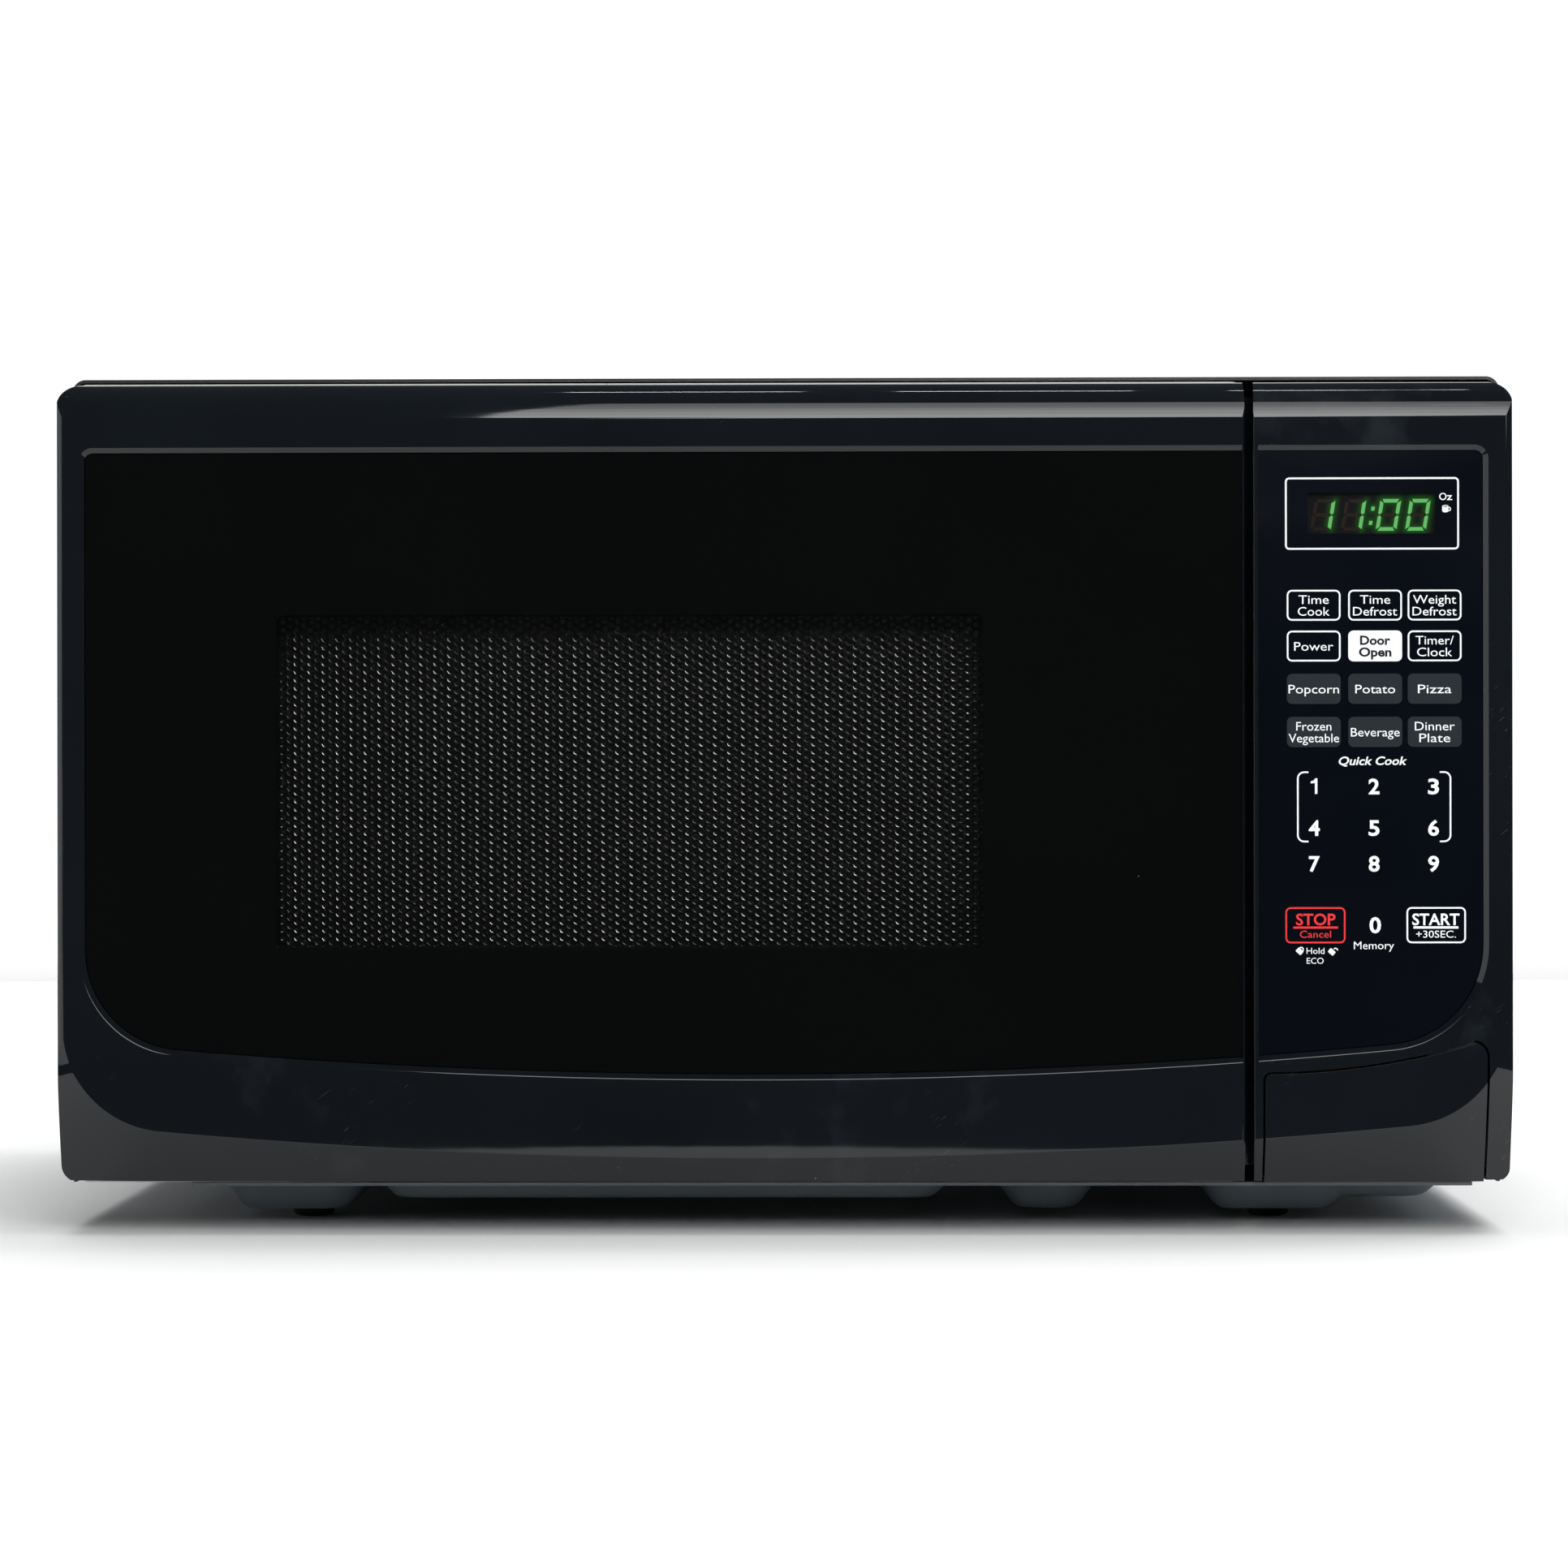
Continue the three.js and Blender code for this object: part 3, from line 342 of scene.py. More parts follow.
def tinted_window(name, color, cover, ior, roughness=0.035):
    """A dark pane that partly covers what is behind it and shines like the glass round it."""
    n = Nodes(name)
    smear = n.noise(12, 4)
    n.tint(smear, color, 0.9, 1)
    n.roughen(smear, roughness, 0.7, 1.5)
    n.emboss(n.noise(34, 2), 0.000004)
    n.set(Alpha=cover, IOR=ior)
    return n.material


def printed_ink(name, color, roughness=0.6):
    """Screen-printed ink, a little uneven."""
    n = Nodes(name)
    grain = n.noise(700, 3)
    n.tint(n.ranged(grain, 0.3, 0.7, 0, 1), color, 0.94, 1)
    n.roughen(grain, roughness, 0.9, 1.1)
    n.emboss(grain, 0.0000015)
    n.set(IOR=1.35)
    return n.material


def lit_segment(name, color, strength):
    """A light bar behind a diffuser, its glow a little uneven."""
    n = Nodes(name)
    grain = n.noise(420, 2)
    n.link(n.mixed(grain, scaled(color, 0.92), color), "Emission Color")
    n.tint(grain, color, 0.25, 0.35)
    n.set(Emission_Strength=strength, Roughness=0.4)
    return n.material


def glowing_face(name, color, glow, strength):
    """A dark face that takes up the light spilt round the lit bars."""
    n = Nodes(name)
    share = n.add("ShaderNodeAttribute", {"attribute_name": "glow"}).outputs["Color"]
    grain = n.noise(300, 2)
    n.tint(grain, color, 0.85, 1.15)
    n.link(n.mixed(share, (0, 0, 0), glow), "Emission Color")
    n.roughen(grain, 1, 0.35, 0.5)
    n.set(Emission_Strength=strength)
    return n.material


MATERIALS = {
    "fascia": gloss_moulding("fascia_gloss", srgb(14, 18, 22), 0.035, 0.006, wear=0.3),
    "pane": gloss_moulding("pane_black", srgb(3, 3, 3), 0.035, 0.0015, 0.000004),
    "keypad": gloss_moulding("keypad_film", srgb(2, 5, 13), 0.09, 0.002, 0.00001),
    "cabinet_paint": coated_metal("cabinet_paint", srgb(24, 25, 27)),
    "chassis": coated_metal("chassis_coating", srgb(118, 128, 134), 0.4, 1400, 0.00004, 0.2),
    "cavity_paint": coated_metal("cavity_enamel", srgb(214, 214, 208), 0.3, 1300, 0.00004, 0, 0.05),
    "zinc": plated_sheet("zinc_plate", (0.62, 0.63, 0.64)),
    "screen": coated_metal("screen_paint", srgb(14, 14, 15), 0.25, 2400, 0.00001),
    "black_plastic": textured_plastic("black_plastic", srgb(26, 27, 29)),
    "white_plastic": textured_plastic("white_plastic", srgb(220, 219, 212), 0.45, 1100, 0.00002),
    "rubber": rubber("foot_rubber", srgb(14, 14, 15)),
    "clear_glass": clear_glass("tray_glass", (0.93, 0.97, 0.96)),
    "mica": textured_plastic("mica_sheet", srgb(176, 164, 132), 0.6, 260, 0.0001),
    "iron": layered("laminated_iron", (0.2, 0.2, 0.21), 0.0009, "Y"),
    "copper": layered("copper_winding", (0.45, 0.19, 0.08), 0.0016, "Z", 0.35, 0.8, 0.0004),
    "circuit": circuit_board("circuit_board", (0.03, 0.13, 0.05)),
    "spring": plated_sheet("spring_wire", (0.55, 0.56, 0.57), 0.25, (1, 1, 8)),
}
PAINTED_WHITE = printed_ink("ink_white", srgb(240, 243, 245))
PAINTED_RED = printed_ink("ink_red", srgb(226, 45, 50))
PAINTED_SLATE = printed_ink("ink_slate", srgb(20, 29, 37))
PAINTED_DARK = printed_ink("ink_dark", srgb(10, 10, 12))
WINDOW_GLASS = tinted_window("window_glass", srgb(4, 4, 4), 0.32, 1.6)
LENS_TINT = tinted_window("lens_tint", srgb(10, 8, 12), 0.45, 1.6)
SEGMENT_LIT = lit_segment("segment_lit", srgb(120, 215, 120), 2.3)
SEGMENT_OFF = printed_ink("segment_off", srgb(120, 95, 80), 0.5)
DISPLAY_FACE = glowing_face("display_face", srgb(28, 25, 32), srgb(20, 110, 12), 1.4)
# Bright metal laid only on the rim facets that face the key light: a painted glint.
PAINTED_GLINT_METAL = coated_metal("painted_glint_metal", (0.95, 0.97, 0.97), 0.1, 2400, 0.000003, 1.0)
# Dull metal for the holes' tubes, also laid on every other column's glint facets as a painted dimmer
# glint.
DULL_TUBE_AND_DIM_GLINT_METAL = coated_metal("dull_tube_and_dim_glint_metal", (0.16, 0.165, 0.165), 0.16, 2400, 0.000003, 1.0)

# ------------------------------------------------------------------ meshes


def shade(mesh, materials, sharp):
    """Gives a mesh its materials, and smooth shading up to an angle in degrees."""
    kinds = [polygon.material_index for polygon in mesh.polygons]
    mesh.materials.clear()
    for material in materials:
        mesh.materials.append(material)
    if len(materials) > 1:
        mesh.polygons.foreach_set("material_index", kinds)
    mesh.polygons.foreach_set("use_smooth", [True] * len(mesh.polygons))
    mesh.set_sharp_from_angle(angle=math.radians(sharp))


def new_piece(name, mesh, body, slot=None, replaced=None, sharp=30, materials=None):
    """A finished piece from a mesh in mm, on a body. Its material is its slot's if none is given."""
    mesh.transform(Matrix.Scale(MM, 4))
    mesh.name = name
    shade(mesh, materials or [MATERIALS[slot]], sharp)
    piece = scene_object(name, mesh)
    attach(piece, body)
    if replaced:
        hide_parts(replaced)
    return piece


def mesh_of(verts, faces, materials=None):
    mesh = bpy.data.meshes.new("shape")
    mesh.from_pydata([tuple(v) for v in verts], [], faces)
    if materials:
        mesh.polygons.foreach_set("material_index", materials)
    mesh.update()
    return mesh


def grid_faces(columns, rows):
    """The quads of a grid whose points run along its rows."""
    for j in range(rows):
        for i in range(columns):
            a = j * (columns + 1) + i
            yield a, a + 1, a + columns + 2, a + columns + 1


def joined(*meshes):
    """Several meshes as one."""
    verts, faces, slots = [], [], []
    for mesh in meshes:
        start = len(verts)
        verts += [tuple(v.co) for v in mesh.vertices]
        faces += [tuple(start + i for i in p.vertices) for p in mesh.polygons]
        slots += [p.material_index for p in mesh.polygons]
    return mesh_of(verts, faces, slots)


def moved(mesh, x=0.0, y=0.0, z=0.0, turn=None):
    if turn is not None:
        mesh.transform(turn)
    mesh.transform(Matrix.Translation((x, y, z)))
    return mesh


def reworked(mesh, change):
    """A mesh after a change, given as a function of its bmesh."""
    work = bmesh.new()
    work.from_mesh(mesh)
    change(work)
    work.to_mesh(mesh)
    work.free()
    return mesh


def face_out(work):
    bmesh.ops.recalc_face_normals(work, faces=work.faces)


def weld(work):
    bmesh.ops.remove_doubles(work, verts=work.verts, dist=0.0005)
    bmesh.ops.dissolve_degenerate(work, edges=work.edges, dist=0.0005)
    face_out(work)


def turns(count):
    """Angles spread evenly round a circle, in radians."""
    return [2 * math.pi * i / count for i in range(count)]


def loft(rings):
    """A closed solid through matched loops of points, its two ends filled."""
    count = len(rings[0])
    verts = [p for ring in rings for p in ring]
    faces = []
    for r in range(len(rings) - 1):
        for i in range(count):
            j = (i + 1) % count
            faces.append((r * count + i, r * count + j, (r + 1) * count + j, (r + 1) * count + i))
    faces.append(tuple(reversed(range(count))))
    faces.append(tuple((len(rings) - 1) * count + i for i in range(count)))
    return reworked(mesh_of(verts, faces), face_out)


def prism(axis, points, start, end):
    """A prism along an axis; points hold the two other coordinates in x, y, z order."""

    def lift(point, along):
        a, b = point
        return {"x": (along, a, b), "y": (a, along, b), "z": (a, b, along)}[axis]

    return loft([[lift(p, start) for p in points], [lift(p, end) for p in points]])


def block(x0, x1, y0, y1, z0, z1):
    return prism("z", [(x0, y0), (x1, y0), (x1, y1), (x0, y1)], z0, z1)


def arc(cx, cy, radius, start, end, steps):
    """Points along an arc, its angles in degrees."""
    points = []
    for i in range(steps + 1):
        angle = math.radians(start + (end - start) * i / steps)
        points.append((cx + radius * math.cos(angle), cy + radius * math.sin(angle)))
    return points


def rounded(x0, x1, y0, y1, radii, steps=8):
    """A rectangle's outline with rounded corners: low-left, low-right, high-right, high-left."""
    a, b, c, d = radii if isinstance(radii, (list, tuple)) else (radii,) * 4
    return (
        arc(x0 + a, y0 + a, a, 180, 270, steps)
        + arc(x1 - b, y0 + b, b, 270, 360, steps)
        + arc(x1 - c, y1 - c, c, 0, 90, steps)
        + arc(x0 + d, y1 - d, d, 90, 180, steps)
    )


def turned(profile, sides, closed=False):
    """A turned piece about the z axis: profile is a list of (radius, z)."""
    verts, faces = [], []
    count = len(profile)
    for angle in turns(sides):
        verts += [(r * math.cos(angle), r * math.sin(angle), z) for r, z in profile]
    last = count if closed else count - 1
    for s in range(sides):
        t = (s + 1) % sides
        for i in range(last):
            j = (i + 1) % count
            faces.append((s * count + i, t * count + i, t * count + j, s * count + j))
    return reworked(mesh_of(verts, faces), weld)


def final_mesh(item):
    """A new mesh of an object as its modifiers leave it."""
    bpy.context.view_layer.update()
    evaluated = item.evaluated_get(bpy.context.evaluated_depsgraph_get())
    return bpy.data.meshes.new_from_object(evaluated)


def combined(operation, first, *others):
    """Manifold booleans of meshes, one after the other."""
    base = scene_object("base", first)
    tools = [scene_object("tool", other) for other in others]
    for tool in tools:
        modifier = base.modifiers.new("boolean", "BOOLEAN")
        modifier.operation = operation
        modifier.solver = "MANIFOLD"
        modifier.object = tool
    result = final_mesh(base)
    for item in (base, *tools):
        bpy.data.objects.remove(item)
    return result


def cut(first, *others):
    return combined("DIFFERENCE", first, *others)


def common(first, *others):
    return combined("INTERSECT", first, *others)


def union(first, *others):
    return combined("UNION", first, *others)


# ------------------------------------------------------------------ the front moulding

# One smiling curve shapes the crease and the recess, as in the CAD.
SMILE_MIDDLE = -8
CREASE = {"side": 2, "low": 23.3, "bend": 2040, "corner": 32, "slope": 0.4, "fillet": 1.2}
RECESS = {"left": -213.1, "right": 212.6, "top": 238.3, "low": 47, "bend": 2080, "corner": 32}
RECESS_TOP_CORNER = 4.2
RECESS_BEVEL = 1.6
POCKET_DEPTH = 3.5
SKIN = 6
WALL = 2.5
ROLL = 12
RAW_BACK = -130  # where the moulding ends before each of its parts is cut to its own depth
DOOR_RIM = 0.7  # the moulding left standing beside the recess, at the gap between door and panel
PANEL_RIM = 1.4
PANEL_DRAFT = 2.2  # how far the panel's side at the gap leans in, from its front to its back
DISPLAY_OPENING = (151.4, 203.8, 206.7, 228.5)
BUTTON = {"left": 145.2, "right": 212, "low": 48.5, "bend": 220, "gap": 0.7}
BUTTON_BACK = -158
BUTTON_OPENING_BACK = -150
FLAT_BREAK = 14  # degrees: the moulding's slopes meet its face at small angles, and have to show


def smile_height(shape, x):
    return shape["low"] + (x - SMILE_MIDDLE) ** 2 / (2 * shape["bend"])


def smile_corner(shape, side):
    """The arc that joins an upright side to the smile: centre x, centre z, touch x, angle."""
    wall = shape["left"] if side < 0 else shape["right"]
    centre = touch = wall - side * shape["corner"]
    for _ in range(4):
        slope = (touch - SMILE_MIDDLE) / shape["bend"]
        touch = centre + shape["corner"] * slope / math.hypot(1, slope)
    centre_z = smile_height(shape, touch) + shape["corner"] / math.hypot(1, slope)
    return centre, centre_z, touch, math.degrees(math.atan2(-1, slope)) % 360


def smile_outline(shape, corner_steps=24, smile_steps=56):
    """An upright shape whose lower edge is the smile, with its four corners rounded."""
    x_left, z_left, touch_left, down_left = smile_corner(shape, -1)
    x_right, z_right, touch_right, down_right = smile_corner(shape, 1)
    points = arc(x_left, z_left, shape["corner"], 180, down_left, corner_steps)
    for i in range(1, smile_steps):
        x = touch_left + (touch_right - touch_left) * i / smile_steps
        points.append((x, smile_height(shape, x)))
    points += arc(x_right, z_right, shape["corner"], down_right, 360, corner_steps)
    r = shape["top_corner"]
    points += arc(shape["right"] - r, shape["top"] - r, r, 0, 90, 8)
    points += arc(shape["left"] + r, shape["top"] - r, r, 90, 180, 8)
    return points


def crease_outline(offset):
    return smile_outline(
        {
            "left": LEFT + CREASE["side"] - offset,
            "right": RIGHT - CREASE["side"] + offset,
            "top": TOP + 40,
            "low": CREASE["low"] - offset,
            "bend": CREASE["bend"] + offset,
            "corner": CREASE["corner"] + offset,
            "top_corner": 1,
        }
    )


def recess_outline(inset):
    return smile_outline(
        {
            "left": RECESS["left"] + inset,
            "right": RECESS["right"] - inset,
            "top": RECESS["top"] - inset,
            "low": RECESS["low"] + inset,
            "bend": RECESS["bend"] - inset,
            "corner": RECESS["corner"] - inset,
            "top_corner": RECESS_TOP_CORNER - inset,
        }
    )


def at_depth(points, y):
    return [(x, y, z) for x, z in points]


def fillet(radius, slope, steps=5):
    """A rounded break from flat to a slope, as (across, down) about the sharp corner."""
    angle = math.atan(slope)
    tangent = radius * math.tan(angle / 2)
    return [
        (-tangent + radius * math.sin(angle * i / steps), radius * (1 - math.cos(angle * i / steps)))
        for i in range(steps + 1)
    ]


def fascia_body(front, inset):
    """The whole front moulding: rolled back at the top and sloped back below the crease."""
    growth = 38
    rings = [
        at_depth(crease_outline(across - inset), front + down)
        for across, down in fillet(CREASE["fillet"], CREASE["slope"])
    ]
    rings.append(at_depth(crease_outline(growth), front + CREASE["slope"] * (growth + inset)))
    rings.append(at_depth(crease_outline(growth), RAW_BACK))
    top = FASCIA_TOP - inset
    profile = [(RAW_BACK, 0), (RAW_BACK, top)]
    profile += [*arc(front + ROLL, top - ROLL, ROLL, 90, 180, 36), (front, 0)]
    silhouette = rounded(LEFT + inset, RIGHT - inset, BUTTON_BOTTOM + inset, top, (5, 4, 7.5, 7), 14)
    return common(
        loft(rings),
        prism("x", profile, LEFT - 1, RIGHT + 1),
        prism("y", silhouette, front - 1, RAW_BACK + 1),
    )


def fascia_shell(slab, hollow, *cuts):
    """The front moulding within a slab, hollow behind its skin and less some cuts."""
    outside = common(fascia_body(FRONT, 0), slab)
    return cut(outside, common(fascia_body(FRONT + SKIN, WALL), hollow), *cuts)


def recess_plug(x0, x1):
    """What the recess takes out of the front: a rounded edge, a bevel and the pane's pocket."""
    depth = PANE_FRONT - FRONT
    slope = depth / RECESS_BEVEL
    rings = [at_depth(recess_outline(-0.45), FRONT - 0.6)]
    rings += [
        at_depth(recess_outline(across), FRONT + down - 0.002) for across, down in fillet(0.6, slope, 4)
    ]
    rings.append(at_depth(recess_outline(RECESS_BEVEL), FRONT + depth))
    rings.append(at_depth(recess_outline(RECESS_BEVEL), FRONT + POCKET_DEPTH))
    return common(loft(rings), block(x0, x1, FRONT - 2, FRONT + 5, 0, TOP))


def edge_slab(x0, x1, back, z0, z1, left_radius, right_radius, draft=0.0):
    """An upright slab with its two front edges rounded; its left side may lean in to the back."""
    outline = rounded(x0, x1, FRONT, back, (left_radius, right_radius, 0.01, 0.01), 10)
    leaning = [(x + draft * (y - FRONT) / (back - FRONT) if x < x0 + 1 else x, y) for x, y in outline]
    return prism("z", leaning, z0, z1)


def button_outline(offset, steps=30):
    """The release button's outline, whose top edge rises to the right like the smile."""
    left, right = BUTTON["left"] - offset, BUTTON["right"] + offset
    bottom = BUTTON_BOTTOM - offset

    def height(x):
        return BUTTON["low"] + offset + (x - BUTTON["left"]) ** 2 / (2 * BUTTON["bend"])

    r_left, r_right = 1.8 + offset, 4.5 + offset
    top_right = height(right) - 0.6
    points = [(left, bottom), (right, bottom)]
    points += arc(right - r_right, top_right - r_right, r_right, 0, 76, 12)
    start, end = right - r_right - 0.4, left + r_left
    points += [(x, height(x)) for x in (start + (end - start) * i / steps for i in range(1, steps))]
    points += arc(left + r_left, height(left) - r_left, r_left, 90, 180, 8)
    return points


SWEEP = {"x": -209, "y": -154, "reach": 14.1}  # the hinge line, and how far the door may reach


def sweep_cut():
    """The room behind the door's left edge that its turn needs."""
    x, y, reach = SWEEP["x"], SWEEP["y"], SWEEP["reach"]
    points = [(x + 30, y + reach)] + arc(x, y, reach, 90, 150, 20)
    points += [(LEFT - 10, y + reach / 2), (LEFT - 10, DOOR_BACK + 10), (x + 30, DOOR_BACK + 10)]
    return prism("z", points, 0, TOP)


WINDOW = {"left": -153.4, "right": 60.3, "bottom": 86.5, "top": 187.7}
HINGE_ARMS = (low("lower_hinge_bracket").z + 2, high("upper_hinge_bracket").z - 4)


def window_outline(grow):
    left, right = WINDOW["left"] - grow, WINDOW["right"] + grow
    return rounded(left, right, WINDOW["bottom"] - grow, WINDOW["top"] + grow, 2.2, 6)


def build_door_frame():
    slab = edge_slab(DOOR_LEFT, DOOR_RIGHT, DOOR_BACK, FASCIA_BOTTOM, FASCIA_TOP, 2.6, 0.9)
    hollow = block(LEFT, DOOR_RIGHT - WALL, FRONT, DOOR_BACK + 1, FASCIA_BOTTOM + WALL, FASCIA_TOP)
    notches = [
        block(LEFT - 1, SWEEP["x"] + 6, SWEEP["y"] - 6.2, DOOR_BACK + 1, arm - 2, arm + 4)
        for arm in HINGE_ARMS
    ]
    sight = prism("y", window_outline(3), FRONT - 1, DOOR_BACK)
    plug = recess_plug(LEFT, DOOR_RIGHT - DOOR_RIM)
    mesh = fascia_shell(slab, hollow, plug, sight, sweep_cut(), *notches)
    new_piece("door_moulding", mesh, "door", "fascia", "door_frame", FLAT_BREAK)


def build_panel_frame():
    slab = edge_slab(PANEL_LEFT, RIGHT, PANEL_BACK, FASCIA_BOTTOM, FASCIA_TOP, 0.35, 2.6, PANEL_DRAFT)
    inner_left = PANEL_LEFT + PANEL_DRAFT + WALL
    hollow = block(inner_left, RIGHT, FRONT, PANEL_BACK + 1, FASCIA_BOTTOM + WALL, FASCIA_TOP)
    opening = prism("y", button_outline(BUTTON["gap"]), FRONT - 1, BUTTON_OPENING_BACK)
    sight = prism("y", rounded(*DISPLAY_OPENING, 1, 4), FRONT - 1, PANEL_BACK)
    plug = recess_plug(PANEL_LEFT + PANEL_RIM, RIGHT)
    shell = fascia_shell(slab, hollow, plug, sight, opening)
    # A foot behind the leaning wall laps the front plate, so nothing inside shows past them.
    foot = block(
        PANEL_LEFT - 1.2, inner_left, PANEL_BACK - 1.4, PANEL_BACK, FASCIA_BOTTOM + 3, FASCIA_TOP - 3
    )
    new_piece("panel_moulding", union(shell, foot), "root", "fascia", "control_panel_frame", FLAT_BREAK)


def build_release_button():
    left, right = BUTTON["left"] + 2, BUTTON["right"] - 2
    slab = prism("y", button_outline(0), FRONT - 1, BUTTON_BACK)
    hollow = block(left, right, FRONT, BUTTON_BACK + 1, BUTTON_BOTTOM + 2, BUTTON["low"] - 2)
    stem = block(150, 158, FRONT + 5.5, high("release_button").y, 42, 46)
    mesh = union(fascia_shell(slab, hollow), stem)
    piece = new_piece(
        "release_button_face", mesh, "release_button", "fascia", "release_button", FLAT_BREAK
    )
    soften(piece, 0.6, 4, 50)


def soften(piece, width, segments=2, angle=40):
    """Rounds a piece's sharp edges; width in mm, angle in degrees."""
    bevel = piece.modifiers.new("edge_rounding", "BEVEL")
    bevel.width = width * MM
    bevel.segments = segments
    bevel.limit_method = "ANGLE"
    bevel.angle_limit = math.radians(angle)
    bevel.use_clamp_overlap = True
    bevel.harden_normals = True


build_door_frame()
build_panel_frame()
build_release_button()

# ------------------------------------------------------------------ the door's glass and screen


def recess_sheet(x0, x1, y0, y1, inset, edge=0.25):
    """A sheet that fills the recess between x0 and x1, its front edge broken."""
    rings = [
        at_depth(recess_outline(RECESS_BEVEL + inset + edge), y0),
        at_depth(recess_outline(RECESS_BEVEL + inset), y0 + edge),
        at_depth(recess_outline(RECESS_BEVEL + inset), y1),
    ]
    return common(loft(rings), block(x0, x1, y0 - 1, y1 + 1, 0, TOP))


def build_pane():
    x0, x1 = low("window_pane").x - 1, high("window_pane").x + 0.2
    whole = recess_sheet(x0, x1, PANE_FRONT, PANE_BACK, 0.06)
    sight = prism("y", window_outline(0), PANE_FRONT - 1, PANE_BACK + 1)
    new_piece("door_pane", cut(whole, sight), "door", "pane", "window_pane", 25)
    lens = prism("y", window_outline(0), PANE_FRONT, PANE_BACK)
    new_piece("door_window", lens, "door", "pane", sharp=25, materials=[WINDOW_GLASS])


PITCH = {"x": 2.145, "z": 2.48}
# The holes' rolled rims, as (radius, depth).
HOLE = {"columns": 101, "rows": 41, "sides": 8, "rims": ((1.06, 0), (0.8, 0.075), (0.7, 0.42))}
# Only these facets get the bright metal, placed where the key light's reflection falls: a painted glint.
PAINTED_GLINT_FACETS = (4, 5)  # the facets of a rim, low on its left, that catch the light


def perforated_sheet(x_middle, z_middle, front):
    """Staggered round holes with rolled rims: painted face, dull tubes, and bright metal on just the two
    rim facets that face the key light, a painted glint.
    """
    dx, dz = PITCH["x"], PITCH["z"]
    near = (dx * dx - dz * dz / 4) / (2 * dx)
    far = (dx * dx + dz * dz / 4) / (2 * dx)
    hexagon = [(far, 0), (near, dz / 2), (-near, dz / 2), (-far, 0), (-near, -dz / 2), (near, -dz / 2)]
    sides = HOLE["sides"]
    rims = HOLE["rims"]
    cell = [(x, 0, z) for x, z in hexagon]
    for radius, depth in rims:
        cell += [(radius * math.cos(t), depth, radius * math.sin(t)) for t in turns(sides)]
    flat, rim = [], []
    edge = [math.atan2(z, x) % (2 * math.pi) for x, z in hexagon]
    i = j = 0  # the flat ring's triangles step round the hexagon and the rim together
    while i < 6 or j < sides:
        next_i = edge[i % 6] + 2 * math.pi * (i // 6) if i else 0
        step_i = (i + 1) * math.pi / 3
        step_j = (j + 1) * 2 * math.pi / sides
        if j >= sides or (i < 6 and step_i <= step_j and next_i <= step_i):
            flat.append((i % 6, 6 + j % sides, (i + 1) % 6))
            i += 1
        else:
            flat.append((i % 6, 6 + j % sides, 6 + (j + 1) % sides))
            j += 1
    for ring in range(len(rims) - 1):
        for k in range(sides):
            a, b = 6 + ring * sides + k, 6 + ring * sides + (k + 1) % sides
            rim.append((a, a + sides, b + sides, b))
    # the painted glint facets get kind 1, the rest of the bevel the painted face
    bevel = [1 if k in PAINTED_GLINT_FACETS else 0 for k in range(sides)]
    kinds = [0] * len(flat) + bevel + [2] * (len(rim) - sides)
    verts, faces, slots = [], [], []
    for column in range(HOLE["columns"]):
        shift = dz / 4 if column % 2 else -dz / 4
        x = x_middle + (column - (HOLE["columns"] - 1) / 2) * dx
        for row in range(HOLE["rows"]):
            z = z_middle + (row - (HOLE["rows"] - 1) / 2) * dz + shift
            start = len(verts)
            verts += [(x + a, front + b, z + c) for a, b, c in cell]
            faces += [tuple(start + v for v in face) for face in flat + rim]
            # every other column gets the dull metal on its glint facets: a painted dimmer glint
            slots += [min(kind * (1 + column % 2), 2) for kind in kinds]  # odd columns' glints are dull
    return mesh_of(verts, faces, slots)


LUG_LEVELS = (30.5, 240.5)  # the undersides of the two hinge lugs


def build_door_screen():
    """The door's steel pan, with its perforated field seen through the window."""
    pan_low, pan_high = low("door_screen_panel"), high("door_screen_panel")
    x_axis, y_axis = SWEEP["x"], SWEEP["y"]
    front, back, sheet, wall = -149.3, pan_high.y, 1.0, 1.2
    left, right = x_axis + 3, pan_high.x
    outer = prism("y", rounded(left, right, pan_low.z, pan_high.z, 2.5), front, back)
    hollow = rounded(left + wall, right - wall, pan_low.z + wall, pan_high.z - wall, 1.8)
    inner = prism("y", hollow, front + sheet, back + 1)
    x_middle = (WINDOW["left"] + WINDOW["right"]) / 2
    z_middle = (WINDOW["bottom"] + WINDOW["top"]) / 2
    half_x = PITCH["x"] * HOLE["columns"] / 2 - 0.4
    half_z = PITCH["z"] * HOLE["rows"] / 2 - 0.4
    field = block(
        x_middle - half_x, x_middle + half_x, front - 1, front + 3, z_middle - half_z, z_middle + half_z
    )
    pan = cut(outer, inner, field)
    for level in LUG_LEVELS:
        tab = rounded(x_axis - 5, x_axis + 11, y_axis - 5, front + 0.5, (5, 1, 0.2, 0.2))
        lug = prism("z", tab, level, level + 3)
        hole = prism("z", arc(x_axis, y_axis, 2.9, 0, 351, 39), level - 1, level + 4)
        pan = union(pan, cut(lug, hole))
    soften(new_piece("door_pan", pan, "door", "screen", "door_screen_panel"), 0.25)
    holes = perforated_sheet(x_middle, z_middle, front + 0.15)
    metals = [MATERIALS["screen"], PAINTED_GLINT_METAL, DULL_TUBE_AND_DIM_GLINT_METAL]
    new_piece("perforated_screen", holes, "door", "screen", sharp=60, materials=metals)


# ------------------------------------------------------------------ ink and legends


